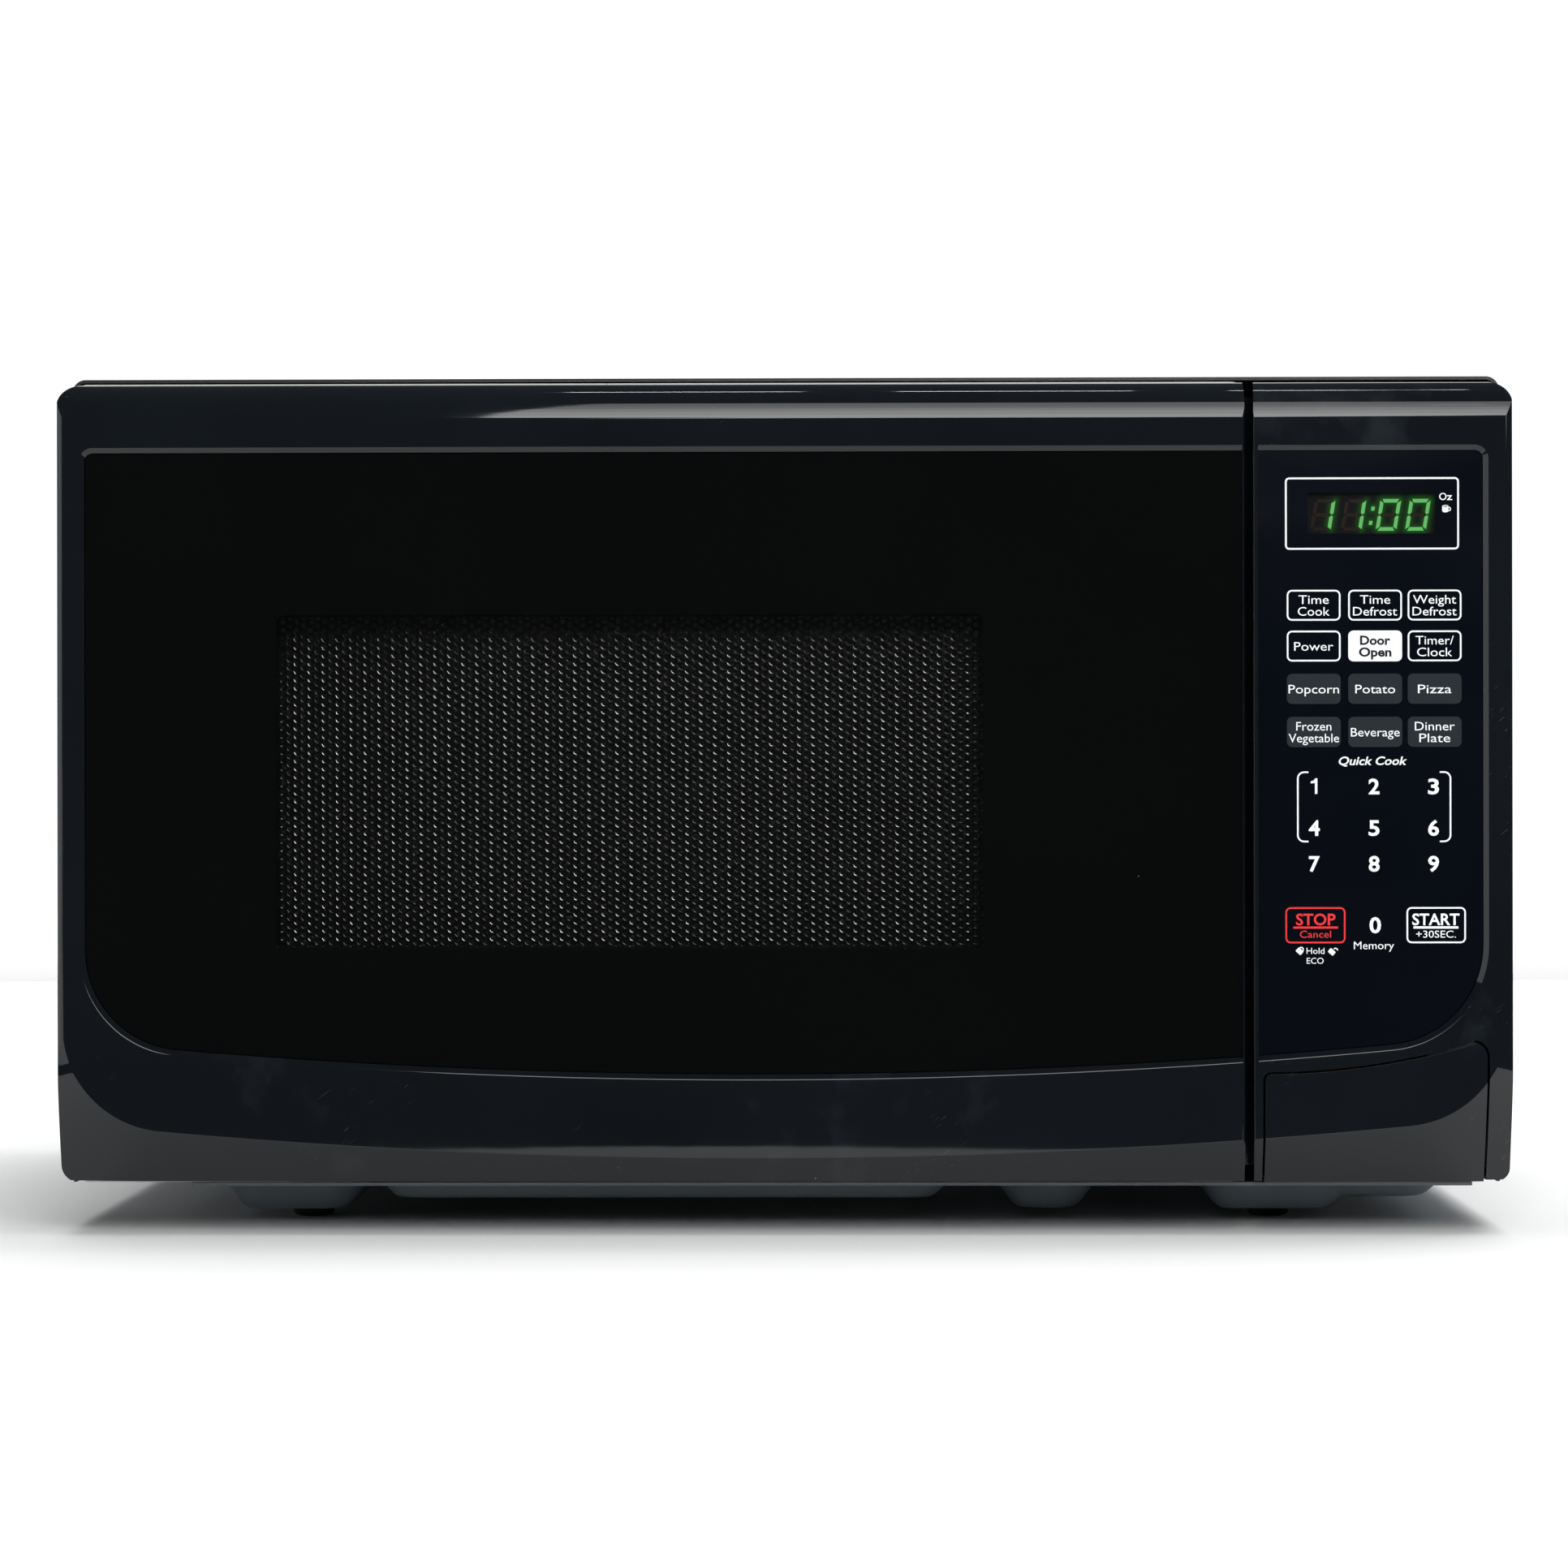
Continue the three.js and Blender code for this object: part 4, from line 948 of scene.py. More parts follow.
def ring_plate(outer, inner, y0, y1):
    """A flat frame between two matched outlines in x and z."""
    count = len(outer)
    verts = [(x, y0, z) for x, z in outer] + [(x, y0, z) for x, z in inner]
    verts += [(x, y1, z) for x, z in outer] + [(x, y1, z) for x, z in inner]
    faces = []
    for i in range(count):
        j = (i + 1) % count
        a, b, c, d = i, j, count + j, count + i
        faces.append((a, b, c, d))
        faces.append((2 * count + d, 2 * count + c, 2 * count + b, 2 * count + a))
        faces.append((a, 2 * count + a, 2 * count + b, b))
        faces.append((d, c, 2 * count + c, 2 * count + d))
    return mesh_of(verts, faces)


FILM = PANE_FRONT  # the keypad film's face
INK_RISE = 0.05
INK_BACK = FILM + 0.02  # ink sinks a little into the film
CAP_SHARE = 0.729  # capital height of the built-in font, for a size of one


def ink(points, rise=INK_RISE):
    return prism("y", points, FILM - rise, INK_BACK)


def ink_ring(outer, inner):
    return ring_plate(outer, inner, FILM - INK_RISE, INK_BACK)


def outline_box(x0, x1, z0, z1, radius=1.6, line=0.5):
    outer = rounded(x0, x1, z0, z1, radius, 6)
    inner = rounded(x0 + line, x1 - line, z0 + line, z1 - line, max(radius - line, 0.2), 6)
    return ink_ring(outer, inner)


def filled_box(x0, x1, z0, z1):
    return ink(rounded(x0, x1, z0, z1, 1.6, 6), INK_RISE * 0.6)


def stroke(points, width):
    """A line of ink of one width along points in x and z."""
    left, right = [], []
    for i, (x, z) in enumerate(points):
        before, after = points[max(i - 1, 0)], points[min(i + 1, len(points) - 1)]
        dx, dz = after[0] - before[0], after[1] - before[1]
        length = math.hypot(dx, dz)
        nx, nz = -dz / length * width / 2, dx / length * width / 2
        left.append((x + nx, z + nz))
        right.append((x - nx, z - nz))
    return ink(left + right[::-1])


def lettering(text, x, z, cap, width, bold=0.0, slant=0.0, rise=INK_RISE):
    """Text centred on x, with capitals of a given height centred on z, set to a width."""
    curve = bpy.data.curves.new("text", "FONT")
    curve.body = text
    curve.extrude = 0.5
    curve.offset = bold
    curve.resolution_u = 3
    holder = scene_object("text", curve)
    mesh = final_mesh(holder)
    bpy.data.objects.remove(holder)
    for v in mesh.vertices:
        v.co.x += v.co.y * slant
    across = [v.co.x for v in mesh.vertices]
    x0, x1 = min(across), max(across)
    for v in mesh.vertices:
        a = x + ((v.co.x - x0) / (x1 - x0) - 0.5) * width
        c = z + (v.co.y / CAP_SHARE - 0.5) * cap
        v.co = (a, FILM - rise if v.co.z > 0 else INK_BACK, c)
    return mesh


COLUMNS = (160.0, 178.5, 196.4)
PAD_HALF = 8.1
PAD_CAP = 2.76
LINE_OFFSETS = {1: (0,), 2: (1.8, -1.75)}  # above a pad's middle, by the number of lines
PAD_ROWS = (
    # middle of the row, half its height, the pads' legends from left to right
    (189.95, 4.65, ("Time Cook", "Time Defrost", "Weight Defrost")),
    (177.65, 4.65, ("Power", "Door Open", "Timer/ Clock")),
    (164.75, 4.55, ("Popcorn", "Potato", "Pizza")),
    (151.75, 4.55, ("Frozen Vegetable", "Beverage", "Dinner Plate")),
)
WORD_WIDTHS = {
    "Time": 9.1, "Cook": 9.6, "Defrost": 13.3, "Weight": 13.0, "Power": 11.8, "Door": 9.1,
    "Open": 9.8, "Timer/": 11.5, "Clock": 10.6, "Popcorn": 15.2, "Potato": 12.0, "Pizza": 10.1,
    "Frozen": 10.6, "Vegetable": 15.2, "Beverage": 14.7, "Dinner": 12.0, "Plate": 9.3,
}
DIGIT_COLUMNS = (160.1, 178.1, 196.0)
DIGIT_ROWS = (135.4, 122.9, 112.1)
BIG_KEYS = (88.0, 98.9)  # the bottom and top of the two keys beside the zero
WHITE_TEXTS = (
    # text, x and z of its middle, height of its capitals, width, boldness, slant
    ("Quick Cook", 177.75, 143.1, 2.6, 20.5, 0.018, 0.22),
    ("0", 178.4, 93.6, 4.8, 3.5, 0.025),
    ("Memory", 178.0, 87.45, 2.45, 12.1),
    ("START", 196.65, 95.3, 3.55, 14.2, 0.02),
    ("+30SEC.", 196.7, 90.8, 2.25, 12.0),
    ("Hold", 160.4, 85.8, 1.95, 5.4),
    ("ECO", 160.3, 82.8, 1.9, 5.1),
    ("O", 198.95, 222.75, 2.25, 2.25, 0.008),
    ("z", 200.95, 222.75, 2.3, 1.65, 0.008),
)


def pad_words(legend, x, z, bold=0.0, rise=INK_RISE):
    """A pad's words, one under the other."""
    words = legend.split()
    return [
        lettering(word, x, z + offset, PAD_CAP, WORD_WIDTHS[word], bold, rise=rise)
        for word, offset in zip(words, LINE_OFFSETS[len(words)], strict=True)
    ]


def figure_one(x, z):
    """A 1 with a short flag and no foot."""
    left, stem, right, half = -1.05, 0.2, 0.95, 2.35
    outline = [(right, -half), (right, half), (0.3, half), (-0.2, 1.7), (left, 1.45), (left, 0.85)]
    outline += [(stem, 0.95), (stem, -half)]
    return ink([(x + a, z + b) for a, b in outline])


def lock_icon(x, z, opened):
    """A little padlock: a tilted body with a shackle over one corner."""
    body = rounded(-1.0, 1.0, -0.75, 0.75, 0.25, 4)
    shackle = arc(0, 0.75, 0.62, 40 if opened else 0, 180, 12)
    if opened:
        shackle = [(a + 0.5, b + 0.35) for a, b in shackle]
    turn = math.radians(-42)

    def placed(points):
        return [
            (x + a * math.cos(turn) - b * math.sin(turn), z + a * math.sin(turn) + b * math.cos(turn))
            for a, b in points
        ]

    return joined(ink(placed(body)), stroke(placed(shackle), 0.34))


def cup_icon(x, z):
    """A little cup: its body, its open mouth and its handle."""
    body = ink(rounded(x - 1.15, x + 0.75, z - 1.1, z + 0.75, (0.6, 0.6, 0.15, 0.15), 5))

    def oval(across, up):
        return [(x - 0.2 + across * math.cos(t), z + 0.8 + up * math.sin(t)) for t in turns(16)]

    mouth = ink_ring(oval(0.95, 0.3), oval(0.57, 0.105))
    return joined(body, mouth, stroke(arc(x + 0.75, z - 0.1, 0.58, 80, -80, 10), 0.3))


def digit_bracket(side, edge):
    """The bracket beside the first two rows of digits, open towards them."""
    radius, bottom, top = 1.9, 120.6, 137.7
    corner = edge - side * radius
    tip = corner - side * 1.3
    bend = arc(0, bottom, radius, -90, 0, 8) + arc(0, top, radius, 0, 90, 8)
    path = [(corner + side * a, b) for a, b in bend]
    return stroke([(tip, bottom - radius), *path, (tip, top + radius)], 0.5)


def build_legends():
    white, slate, dark = [], [], []
    for row, (z, half, legends) in enumerate(PAD_ROWS):
        for x, legend in zip(COLUMNS, legends, strict=True):
            edges = (x - PAD_HALF, x + PAD_HALF, z - half, z + half)
            if legend == "Door Open":
                white.append(filled_box(*edges))
                dark += pad_words(legend, x, z, 0.03, INK_RISE + 0.02)
                continue
            if row > 1:
                slate.append(filled_box(*edges))
            else:
                white.append(outline_box(*edges))
            white += pad_words(legend, x, z)
    white += [lettering(*row) for row in WHITE_TEXTS]
    white.append(figure_one(DIGIT_COLUMNS[0], DIGIT_ROWS[0]))
    for number in range(2, 10):
        x = DIGIT_COLUMNS[(number - 1) % 3]
        white.append(lettering(str(number), x, DIGIT_ROWS[(number - 1) // 3], 4.7, 3.3, 0.025))
    white += [digit_bracket(-1, 155.15), digit_bracket(1, 201.1)]
    white.append(outline_box(187.8, 205.7, *BIG_KEYS))
    white.append(stroke([(189.9, 92.75), (203.4, 92.75)], 0.7))
    white += [lock_icon(155.6, 85.6, False), lock_icon(165.3, 85.4, True)]
    white.append(outline_box(*DISPLAY_OPENING, 1.3, 0.55))
    white.append(cup_icon(199.9, 219.0))
    red = [
        outline_box(151.35, 169.45, *BIG_KEYS),
        lettering("STOP", 160.5, 95.3, 3.55, 11.9, 0.02),
        stroke([(153.7, 92.75), (167.2, 92.75)], 0.65),
        lettering("Cancel", 160.4, 90.8, 2.25, 9.4),
    ]
    new_piece("legend_white", joined(*white), "root", materials=[PAINTED_WHITE])
    new_piece("legend_red", joined(*red), "root", materials=[PAINTED_RED])
    new_piece("pads_slate", joined(*slate), "root", materials=[PAINTED_SLATE])
    new_piece("legend_dark", joined(*dark), "root", materials=[PAINTED_DARK])


# ------------------------------------------------------------------ the display

LENS = (158.2, 196.9, 211.5, 223.9)
DIGIT = {"height": 9.6, "width": 6.3, "base": 212.5, "bar": 1.08, "slant": 0.165}
DIGIT_STARTS = (159.1, 168.4, 178.9, 187.8)
ZERO = ("top", "bottom", "upper_left", "upper_right", "lower_left", "lower_right")
SEGMENTS = ("middle", *ZERO)
ONE = ("upper_right", "lower_right")
LIT = (ONE, ONE, ZERO, ZERO)
SEGMENT_FACE = low("display_module").y
GLOW_REACH = 0.85
GLOW_GRID = (140, 46)


def segment_outline(kind, start):
    """One bar of a digit, with mitred ends, slanted as the digits are."""
    h, w, bar = DIGIT["height"], DIGIT["width"], DIGIT["bar"]
    gap = 0.14
    half = h / 2
    if kind in ("top", "bottom"):
        flip = 1 if kind == "bottom" else -1
        edge = 0 if kind == "bottom" else h
        points = [
            (gap + 0.5, edge),
            (w - gap - 0.5, edge),
            (w - bar - gap, edge + flip * bar),
            (bar + gap, edge + flip * bar),
        ]
    elif kind == "middle":
        b = bar / 2
        points = [
            (b + gap + 0.15, half),
            (bar + gap, half - b),
            (w - bar - gap, half - b),
            (w - b - gap - 0.15, half),
            (w - bar - gap, half + b),
            (bar + gap, half + b),
        ]
    else:
        upper = kind.startswith("upper")
        right = kind.endswith("right")
        outer, inner = (w, w - bar) if right else (0, bar)
        inward = (outer + inner) / 2
        z_mid, z_end = (half + gap, h) if upper else (half - gap, 0)
        sign = 1 if upper else -1
        points = [
            (outer, z_mid + sign * 0.35),
            (inward, z_mid),
            (inner, z_mid + sign * 0.55),
            (inner, z_end - sign * (bar + gap)),
            (outer, z_end - sign * (gap + 0.35)),
        ]
    return [
        (start + x + z * DIGIT["slant"], DIGIT["base"] + z) for x, z in points
    ]


def colon_outlines():
    dots = []
    for z in (214.9, 219.2):
        x = 177.0 + (z - DIGIT["base"]) * DIGIT["slant"]
        dots.append([(x - 0.5, z - 0.6), (x + 0.5, z - 0.6), (x + 0.68, z + 0.6), (x - 0.32, z + 0.6)])
    return dots


def distance_to(points, x, z):
    """Distance from a point to a polygon, zero inside it."""
    best, inside = 1e9, False
    for (x0, z0), (x1, z1) in zip(points, points[1:] + points[:1], strict=True):
        dx, dz = x1 - x0, z1 - z0
        t = max(0, min(1, ((x - x0) * dx + (z - z0) * dz) / (dx * dx + dz * dz)))
        best = min(best, math.hypot(x - x0 - t * dx, z - z0 - t * dz))
        if (z0 > z) != (z1 > z) and x < (x1 - x0) * (z - z0) / (z1 - z0) + x0:
            inside = not inside
    return 0 if inside else best


def build_display():
    """The lit and unlit bars, and the face behind them with the light they spill."""
    lit, dark = colon_outlines(), []
    for start, bars in zip(DIGIT_STARTS, LIT, strict=True):
        for kind in SEGMENTS:
            (lit if kind in bars else dark).append(segment_outline(kind, start))
    for name, outlines, rise, material in (
        ("segments_lit", lit, 0.12, SEGMENT_LIT),
        ("segments_off", dark, 0.1, SEGMENT_OFF),
    ):
        bars = [prism("y", outline, SEGMENT_FACE - rise, SEGMENT_FACE) for outline in outlines]
        new_piece(name, joined(*bars), "root", materials=[material])
    x0, x1, z0, z1 = LENS[0] - 1, LENS[1] + 1, LENS[2] - 1, LENS[3] + 1
    columns, rows = GLOW_GRID
    verts, glow = [], []
    for j in range(rows + 1):
        for i in range(columns + 1):
            x, z = x0 + (x1 - x0) * i / columns, z0 + (z1 - z0) * j / rows
            verts.append((x, SEGMENT_FACE - 0.03, z))
            d = min(distance_to(outline, x, z) for outline in lit)
            glow.append(math.exp(-((d / GLOW_REACH) ** 1.4)))
    mesh = mesh_of(verts, list(grid_faces(columns, rows)))
    layer = mesh.color_attributes.new("glow", "FLOAT_COLOR", "POINT")
    for item, value in zip(layer.data, glow, strict=True):
        item.color = (value, value, value, 1)
    new_piece("display_glow", mesh, "root", materials=[DISPLAY_FACE])


def build_keypad():
    x0, x1 = low("keypad_overlay").x - 0.1, high("keypad_overlay").x + 1
    film = recess_sheet(x0, x1, PANE_FRONT, PANE_BACK, 0.06)
    hole = prism("y", rounded(*LENS, 0.4, 4), PANE_FRONT - 1, PANE_BACK + 1)
    new_piece("keypad_film", cut(film, hole), "root", "keypad", "keypad_overlay", 25)
    lens = prism("y", rounded(*LENS, 0.4, 4), PANE_FRONT, PANE_FRONT + 0.8)
    new_piece("display_lens", lens, "root", sharp=25, materials=[LENS_TINT])


build_pane()
build_door_screen()
build_keypad()
build_legends()
build_display()

# ------------------------------------------------------------------ the cabinet, back and base

TURN_Y = Matrix.Rotation(-math.pi / 2, 4, "X")  # a turned piece's axis from Z to the back


def slot_prism(axis, a0, a1, b0, b1, start, end):
    return prism(axis, rounded(a0, a1, b0, b1, min(a1 - a0, b1 - b0) / 2 - 0.01, 6), start, end)


def triangulate_ends(work):
    """Splits the wrap's two end faces: they are U-shaped, and whole they are filled right across."""
    ends = [face for face in work.faces if abs(face.normal.y) > 0.99 and len(face.verts) > 4]
    bmesh.ops.triangulate(work, faces=ends)


def build_cabinet():
    base, top = low("outer_cabinet"), high("outer_cabinet")
    outer = rounded(base.x, top.x, base.z, top.z, (0.05, 0.05, 4, 4), 12)
    inner = rounded(base.x + 1, top.x - 1, base.z - 5, top.z - 1, (0.05, 0.05, 3, 3), 12)
    wrap = cut(prism("y", outer, base.y, top.y), prism("y", inner, base.y - 1, top.y + 1))
    slots, width, pitch = [], 3.5, 9
    for column in range(9):
        y = 62 + column * pitch
        for z in (40, 66, 92):
            slots.append(slot_prism("x", y, y + width, z, z + 20, top.x - 3, top.x + 1))
        y = 20 + column * pitch
        slots.append(slot_prism("x", y, y + width, 196, 220, base.x - 1, base.x + 3))
    mesh = cut(wrap, joined(*slots))
    piece = new_piece("cabinet_wrap", mesh, "root", "cabinet_paint", "outer_cabinet", 24)
    reworked(piece.data, triangulate_ends)
    soften(piece, 0.22, 2, 45)


SCREW = {"radius": 3.4, "height": 1.9, "edge": 0.35}


def screw_mesh():
    """A pan head with a cross recess, standing along +Z from z = 0."""
    radius, height, edge = SCREW["radius"], SCREW["height"], SCREW["edge"]
    dome = [
        (radius * math.cos(a), edge + (height - edge) * math.sin(a))
        for a in (math.radians(i * 11.25) for i in range(1, 8))
    ]
    head = turned([(0, -0.4), (radius, -0.4), (radius, edge), *dome, (0, height)], 28)
    arm, width = radius * 0.52, radius * 0.13
    cross = [
        (x * c - y * s, x * s + y * c)
        for c, s in ((1, 0), (0, 1), (-1, 0), (0, -1))
        for x, y in ((arm, width), (width, width), (width, arm))
    ]
    return cut(head, prism("z", cross, height * 0.35, height + 1))


def place_screws(name, places, turn):
    """One piece of several screws, each turned by its own amount."""
    spin = random.Random(len(name))
    heads = []
    for x, y, z in places:
        head = screw_mesh()
        head.transform(Matrix.Rotation(spin.uniform(0, 1.5), 4, "Z"))
        heads.append(moved(head, x, y, z, turn))
    new_piece(name, joined(*heads), "root", "zinc", sharp=40)


def boss_mesh(radius, height):
    """A pressed boss: a flared foot, a straight side and a rounded top edge."""
    foot, edge = radius + 2.5, 1.4
    profile = [(0, -0.5), (foot, -0.5), (foot, 0), (radius + 0.8, 0.25), (radius, 1.0)]
    profile += arc(radius - edge, height - edge, edge, 0, 90, 6)
    return turned([*profile, (0, height)], 40)


CORD_X, CORD_Z = 190, 38  # where the cord would leave


def build_rear_panel():
    base, top = low("rear_panel"), high("rear_panel")
    front = base.y
    sheet = prism("y", rounded(base.x, top.x, base.z, top.z, 6, 8), front, front + 1)
    rib = ring_plate(
        rounded(-196, 100, 34, 238, 10, 8), rounded(-192, 96, 38, 234, 7, 8), front + 0.5, front + 1.9
    )
    bosses = [
        moved(boss_mesh(9, top.y - front - 1), x, front + 1, z, TURN_Y)
        for x, z in ((-180, 60), (-180, 215), (180, 215))
    ]
    slots = [
        slot_prism("y", 124 + c * 10, 128 + c * 10, 72 + r * 20, 87 + r * 20, front - 1, front + 3)
        for r in range(4)
        for c in range(8)
    ]
    hole = prism("y", arc(CORD_X, CORD_Z, 8, 0, 352.5, 47), front - 1, front + 3)
    whole = cut(union(sheet, rib, *bosses), joined(*slots), hole)
    soften(new_piece("rear_sheet", whole, "root", "cabinet_paint", "rear_panel", 28), 0.2, 2, 45)
    edge = [(x, z) for x in (-212, 212) for z in (24, 132, 248)] + [(x, 252) for x in (-110, 0, 110)]
    edge += [(-70, 20), (70, 20), (-150, 20)]
    place_screws("rear_screws", [(x, front + 1, z) for x, z in edge], TURN_Y)


def build_cord_bushing():
    bore, rim = 3.8, 4.2
    profile = [(bore, -8), (6.6, -8), (7.6, -6.6), (7.6, 2), (10.4, 2), (11, 2.7), (10.8, 3.6)]
    profile += [(9.6, rim), (5.0, rim), (bore, 3.4)]
    y = high("rear_panel").y - rim - 0.8
    mesh = moved(turned(profile, 48, True), CORD_X, y, CORD_Z, TURN_Y)
    new_piece("cord_bushing_ring", mesh, "root", "black_plastic", "cord_bushing", 35)


BUMPS = (
    # x0, x1, y0, y1, how far down the pressing goes, width of its slope
    (-178, -130, -126, 152, 9.0, 9),
    (128, 178, -126, 152, 9.0, 8),
    (148, 207, -126, 152, 5.2, 9),
    (-128, 52, -131, -94, 5.0, 7),
    (64, 99, -124, -58, 9.0, 9),
    (-80, -12, -33, 51, 7.4, 8),
)


def bump_depth(x, y):
    """How far down the pressings carry the base sheet at a point."""
    deepest = 0.0
    for x0, x1, y0, y1, depth, slope in BUMPS:
        corner = slope + 6
        half_x, half_y = (x1 - x0) / 2 - corner, (y1 - y0) / 2 - corner
        dx = max(abs(x - (x0 + x1) / 2) - max(half_x, 0), 0)
        dy = max(abs(y - (y0 + y1) / 2) - max(half_y, 0), 0)
        inside = corner - math.hypot(dx, dy)
        t = max(0.0, min(1.0, inside / slope))
        deepest = max(deepest, depth * t * t * (3 - 2 * t))
    return deepest


def notched(y):
    """How far the sheet's ends are cut back: its front corners are notched for the door."""
    return max(0.0, min(1.0, (-98 - y) / 12))


BASE_GRID = (220, 152)


def build_base():
    """The base sheet, with soft pressings that carry the feet and clear the works."""
    base, top = low("base_plate"), high("base_plate")
    columns, rows = BASE_GRID
    verts, faces = [], []
    under = top.z - 1  # the sheet is 1 mm thick
    for level in (0, 1):
        for j in range(rows + 1):
            y = base.y + (top.y - base.y) * j / rows
            left, right = base.x + 36 * notched(y), top.x - 8 * notched(y)
            for i in range(columns + 1):
                x = left + (right - left) * i / columns
                verts.append((x, y, under + level - bump_depth(x, y)))
    layer = (columns + 1) * (rows + 1)
    for quad in grid_faces(columns, rows):
        faces += [quad[::-1], tuple(layer + v for v in quad)]
    rim = list(range(columns))
    rim += [j * (columns + 1) + columns for j in range(rows)]
    rim += [rows * (columns + 1) + i for i in range(columns, 0, -1)]
    rim += [j * (columns + 1) for j in range(rows, 0, -1)]
    for a, b in zip(rim, rim[1:] + rim[:1], strict=True):
        faces.append((a, b, layer + b, layer + a))
    new_piece("base_pan", mesh_of(verts, faces), "root", "chassis", "base_plate", 35)


def build_feet():
    profile = [(0, 0), (4.6, 0), (5.6, 0.25), (6.3, 0.9), (6.5, 1.8), (6.5, 3.1)]
    profile += [(3, 3.1), (3, 6), (2.5, 6.5), (0, 6.5)]
    for side in ("front_left", "front_right", "rear_left", "rear_right"):
        node = "foot_" + side
        place = middle(node)
        mesh = moved(turned(profile, 40), place.x, place.y, 0)
        new_piece("rubber_" + node, mesh, "root", "rubber", node, 40)
    feet = [middle("foot_front_left"), middle("foot_rear_right")]
    places = [(foot.x, foot.y + away) for foot in feet for away in (30, -30)]
    places = [(x, y, 12.4 - bump_depth(x, y)) for x, y in places if -120 < y < 145]
    place_screws("base_screws", places, Matrix.Rotation(math.pi, 4, "X"))


# ------------------------------------------------------------------ the tray and its drive

TABLE = middle("glass_turntable")


def build_tray():
    under = low("cavity_floor").z + 1 + 17.6
    underside = [(0, 0), (103, 0), (106, 0.4), (112, 1.9), (118, 4.4), (122.5, 8), (125.4, 11.6)]
    rim = [(126.8, 13.9), (126.9, 14.8), (126.2, 15.4), (125.2, 15.4), (123.8, 14.5)]
    upside = [(121, 11.8), (117.5, 9.0), (112, 6.6), (106, 5.1), (102, 4.6), (0, 4.6)]
    plate = moved(turned(underside + rim + upside, 128), 0, 0, under)
    lugs = []
    for angle in (30, 150, 270):
        lug = turned([(0, -4.8), (3.6, -4.8), (4.2, -4.3), (5, 0), (5, 0.6), (0, 0.6)], 28)
        a = math.radians(angle)
        lugs.append(moved(lug, 16 * math.cos(a), 16 * math.sin(a), under))
    rings = [
        turned([(r - 0.9, -0.35), (r, 0), (r + 0.9, -0.35), (r + 0.9, 0.4), (r - 0.9, 0.4)], 96, True)
        for r in (58, 84)
    ]
    rings = [moved(ring, 0, 0, under + 0.3) for ring in rings]
    mesh = moved(union(plate, *lugs, *rings), TABLE.x, TABLE.y, 0)
    new_piece("tray_glass", mesh, "turntable", "clear_glass", "glass_turntable", 40)


WHEEL_ANGLES = (90, 210, 330)


def laid_out(angle):
    """The turn that lays the z axis flat and points it outwards at an angle."""
    return Matrix.Rotation(math.radians(angle), 4, "Z") @ Matrix.Rotation(math.pi / 2, 4, "Y")


def build_ring():
    middle_z = middle("roller_ring").z

    def squared(value):
        return math.copysign(abs(value) ** 0.5, value)

    section = [(75 + 4 * squared(math.cos(a)), 3.5 * squared(math.sin(a))) for a in turns(24)]
    ring = moved(turned(section, 120, True), 0, 0, middle_z)
    axles = []
    for angle in WHEEL_ANGLES:
        axle = turned([(0, 77), (1.9, 77), (1.9, 91.3), (1.4, 91.9), (0, 91.9)], 20)
        collar = turned([(0, 77), (4.2, 77), (4.2, 82.4), (3.4, 83), (0, 83)], 24)
        axles.append(moved(union(axle, collar), 0, 0, middle_z, laid_out(angle)))
    mesh = moved(union(ring, *axles), TABLE.x, TABLE.y, 0)
    new_piece("guide_ring", mesh, "roller_ring", "white_plastic", "roller_ring", 35)


def build_wheels():
    profile = [(2.3, -3), (4.2, -3), (4.6, -2), (6.4, -2), (6.8, -3), (7.8, -3), (8.3, -2.6), (8.5, -1.8)]
    profile += [(r, -z) for r, z in reversed(profile)]
    for number, angle in enumerate(WHEEL_ANGLES, 1):
        node = f"ring_wheel_{number}"
        mesh = moved(turned(profile, 48, True), *middle(node), laid_out(angle))
        new_piece(f"guide_wheel_{number}", mesh, f"wheel_{number}", "white_plastic", node, 35)


build_cabinet()
build_rear_panel()
build_cord_bushing()
build_base()
build_feet()
build_tray()
build_ring()
build_wheels()

# ------------------------------------------------------------------ carried-over CAD pieces

SOFT_EDGES = {  # CAD pieces whose edges are rounded, and by how much, mm
    "front_plate": 0.25, "choke_cover": 0.8, "latch_hook_bar": 0.6, "release_lever": 0.5,
    "waveguide_cover": 0.3, "upper_switch": 0.5, "lower_switch": 0.5, "monitor_switch": 0.5,
    "transformer_core": 0.4, "capacitor": 0.8, "lamp_holder": 0.5, "drive_coupler": 0.5,
    "turntable_motor": 0.5, "fan_motor": 0.6, "fan_shroud": 0.5, "fan_blade": 0.3,
    "magnetron_frame": 0.3, "control_board": 0.2, "display_module": 0.4,
    "lower_hinge_bracket": 0.3, "upper_hinge_bracket": 0.3,
}


def dress_cad_nodes():
    """Every CAD node still shown gets its slot's material and smooth shading; those in SOFT_EDGES get
    soft edges too.
    """
    for row in frame["record"]["subparts"]:
        node = frame["nodes"][row["node"]]
        if node.hide_render:
            continue
        shade(node.data, [MATERIALS[row["material_slot"]]], 32)
        if row["node"] in SOFT_EDGES:
            soften(node, SOFT_EDGES[row["node"]])


dress_cad_nodes()

# ------------------------------------------------------------------ stage and light, in metres


def add_area(name, place, target, width, height, radiance, seen=True):
    """A rectangular lamp with a given radiance; seen says whether gloss reflects it."""
    data = bpy.data.lights.new(name, "AREA")
    data.shape = "RECTANGLE"
    data.size = width
    data.size_y = height
    data.energy = radiance * math.pi * width * height
    lamp = scene_object(name, data)
    lamp.location = place
    lamp.rotation_euler = (Vector(target) - Vector(place)).to_track_quat("-Z", "Y").to_euler()
    lamp.visible_camera = False
    lamp.visible_glossy = seen


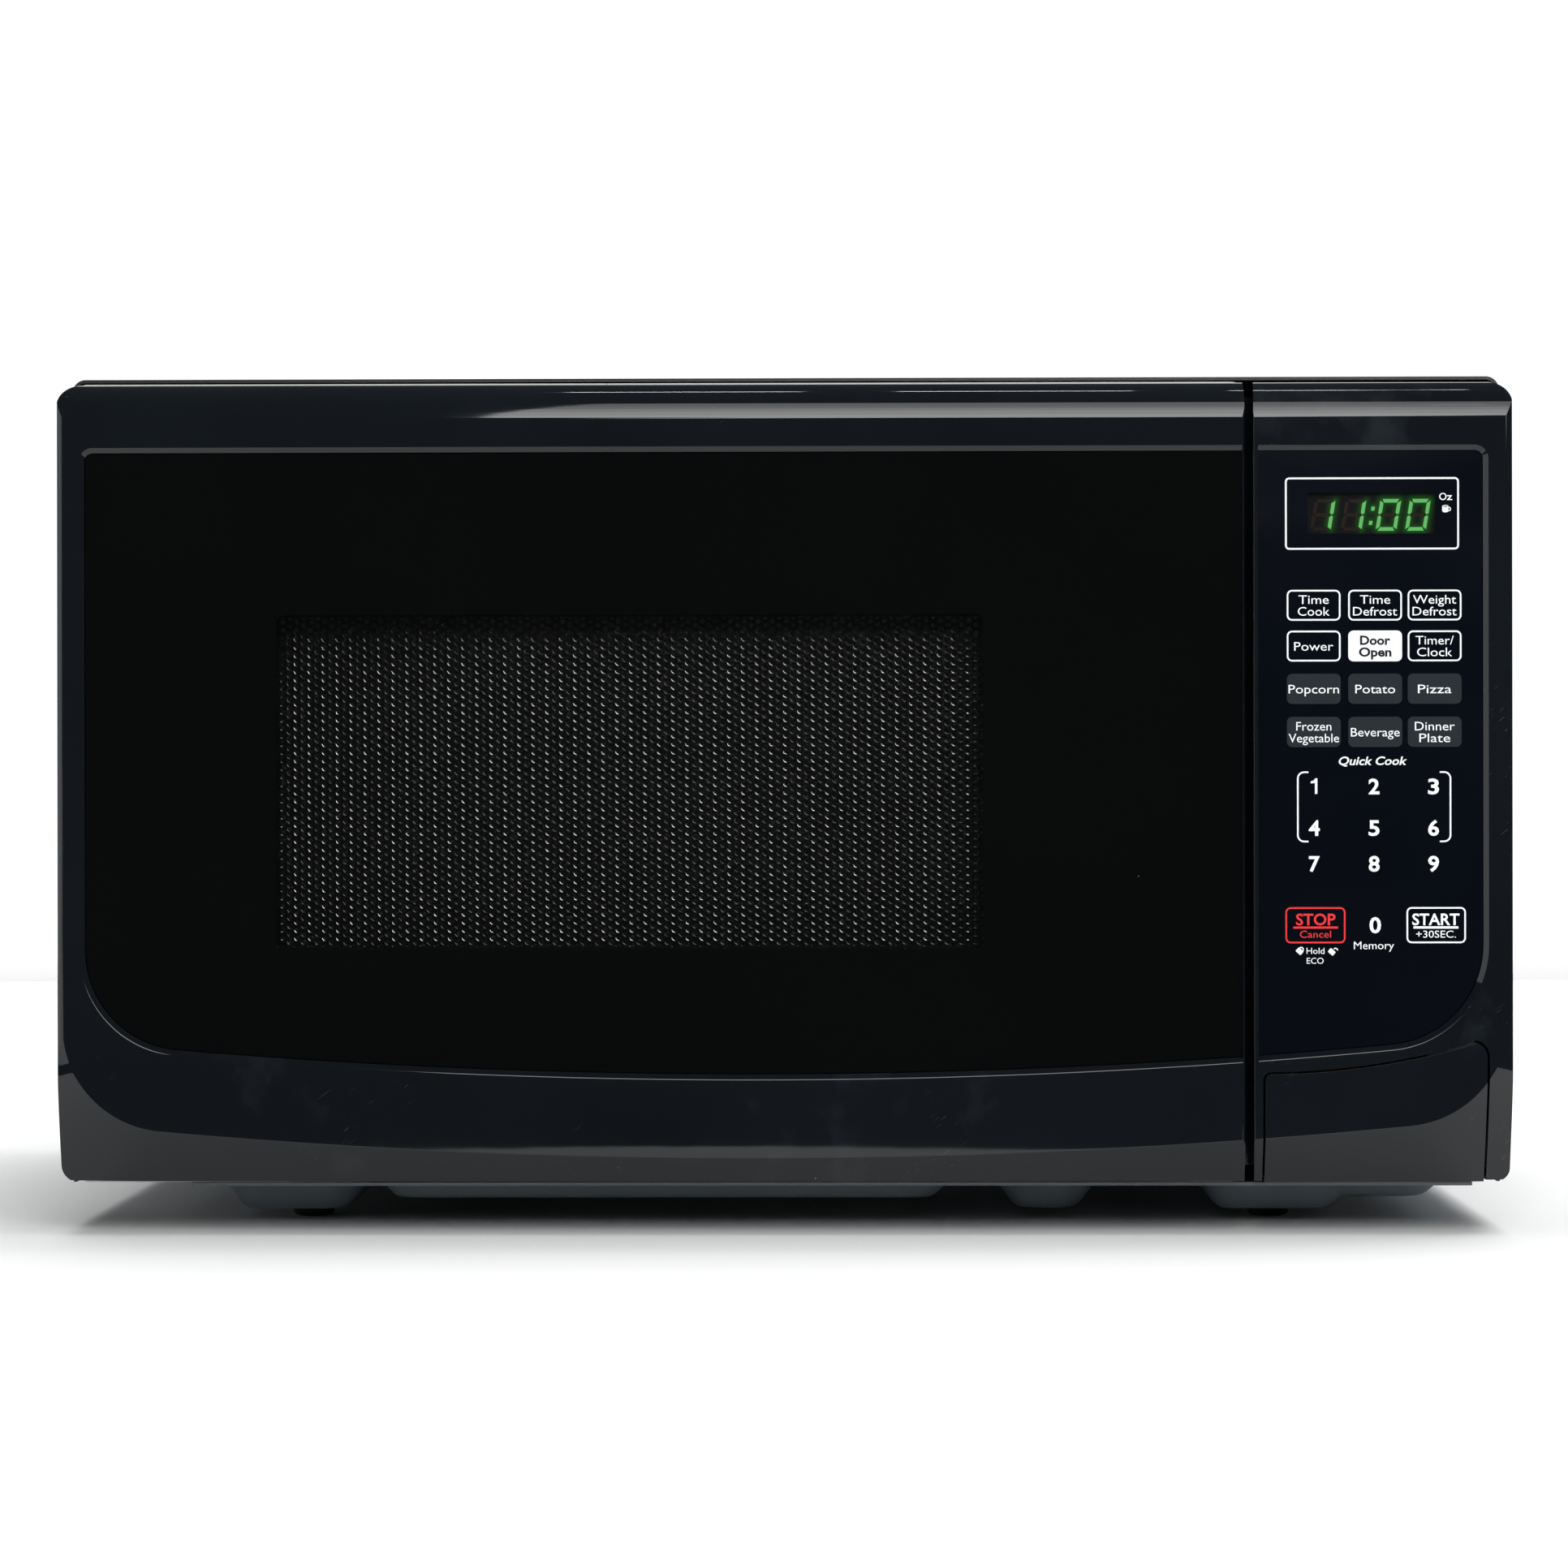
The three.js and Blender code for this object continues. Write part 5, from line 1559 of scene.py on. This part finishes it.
def add_disc(name, inner, outer, fade, seen):
    """A flat ring of pale paper; it may fade out, and may be left out of reflections."""
    sides, steps = 96, 12
    verts, faces = [], []
    for ring in range(steps + 1):
        r = inner + (outer - inner) * ring / steps
        verts += [(r * math.cos(t), r * math.sin(t), 0) for t in turns(sides)]
    for ring in range(steps):
        for i in range(sides):
            j = (i + 1) % sides
            a, b = ring * sides, (ring + 1) * sides
            faces.append((a + i, b + i, b + j, a + j))
    mesh = mesh_of(verts, faces)
    disc = scene_object(name, mesh)
    n = Nodes(name + "_paper")
    n.link(n.mixed(n.noise(3, 3), (0.86, 0.86, 0.86), (0.88, 0.88, 0.88)), "Base Color")
    n.set(Roughness=0.9, Specular_IOR_Level=0.1)
    if fade:
        distance = n.add("ShaderNodeVectorMath", {"operation": "LENGTH"})
        n.tree.links.new(n.place, distance.inputs[0])
        n.link(n.ranged(distance.outputs["Value"], fade[0], fade[1], 1, 0), "Alpha")
    mesh.materials.append(n.material)
    disc.visible_glossy = seen


def add_world():
    """Dim surroundings, so that gloss black stays black, with a white backdrop behind."""
    world = bpy.data.worlds.new("studio")
    SCENE.world = world
    world.use_nodes = True
    tree = world.node_tree
    dim = tree.nodes["Background"]
    dim.inputs["Color"].default_value = (0.86, 0.95, 1.0, 1)
    dim.inputs["Strength"].default_value = 0.06
    white = tree.nodes.new("ShaderNodeBackground")
    white.inputs["Color"].default_value = (1, 1, 1, 1)
    white.inputs["Strength"].default_value = 1.05
    mix = tree.nodes.new("ShaderNodeMixShader")
    ray = tree.nodes.new("ShaderNodeLightPath")
    tree.links.new(ray.outputs["Is Camera Ray"], mix.inputs[0])
    tree.links.new(dim.outputs[0], mix.inputs[1])
    tree.links.new(white.outputs[0], mix.inputs[2])
    tree.links.new(mix.outputs[0], tree.nodes["World Output"].inputs["Surface"])


add_disc("floor_near", 0.0, 0.42, None, True)
add_disc("floor_far", 0.42, 2.4, (0.8, 2.2), False)
add_world()
# In front and to the right, above the camera: its lower edge clears what the flat face reflects.
for i, radiance in enumerate((6.6, 5.6, 4.4, 3.0)):
    z = 0.8 + 0.45 * i
    add_area(f"key_softbox_{i + 1}", (0.55, -2.17, z), (0.55, -0.17, z), 1.6, 0.45, radiance)
add_area("key_softbox_5", (0.55, -2.17, 2.83), (0.55, -0.17, 2.83), 1.6, 1.0, 2.4)
add_area("top_softbox", (0.25, 0.35, 2.3), (0.0, 0.0, 0.0), 2.4, 2.2, 4.2, seen=False)
add_area("left_softbox", (-2.3, -0.9, 0.2), (0, -0.9, 0.2), 3.2, 1.8, 1.1)
add_area("right_softbox", (2.3, -0.6, 0.8), (0, 0, 0.15), 0.6, 1.3, 1.2, seen=False)
# A white wall behind, which only the top edges and the cabinet's sides catch.
add_area("back_softbox", (0, 1.7, 0.6), (0, 0, 0.6), 3.2, 1.2, 1.0)
for i in range(9):
    x = -0.1 + 0.24 * i
    add_area(f"ceiling_tube_{i + 1}", (x, 0.24, 2.25), (x, -0.17, 0.25), 0.17, 0.03, 26.0)
SCENE.view_settings.view_transform = "Standard"
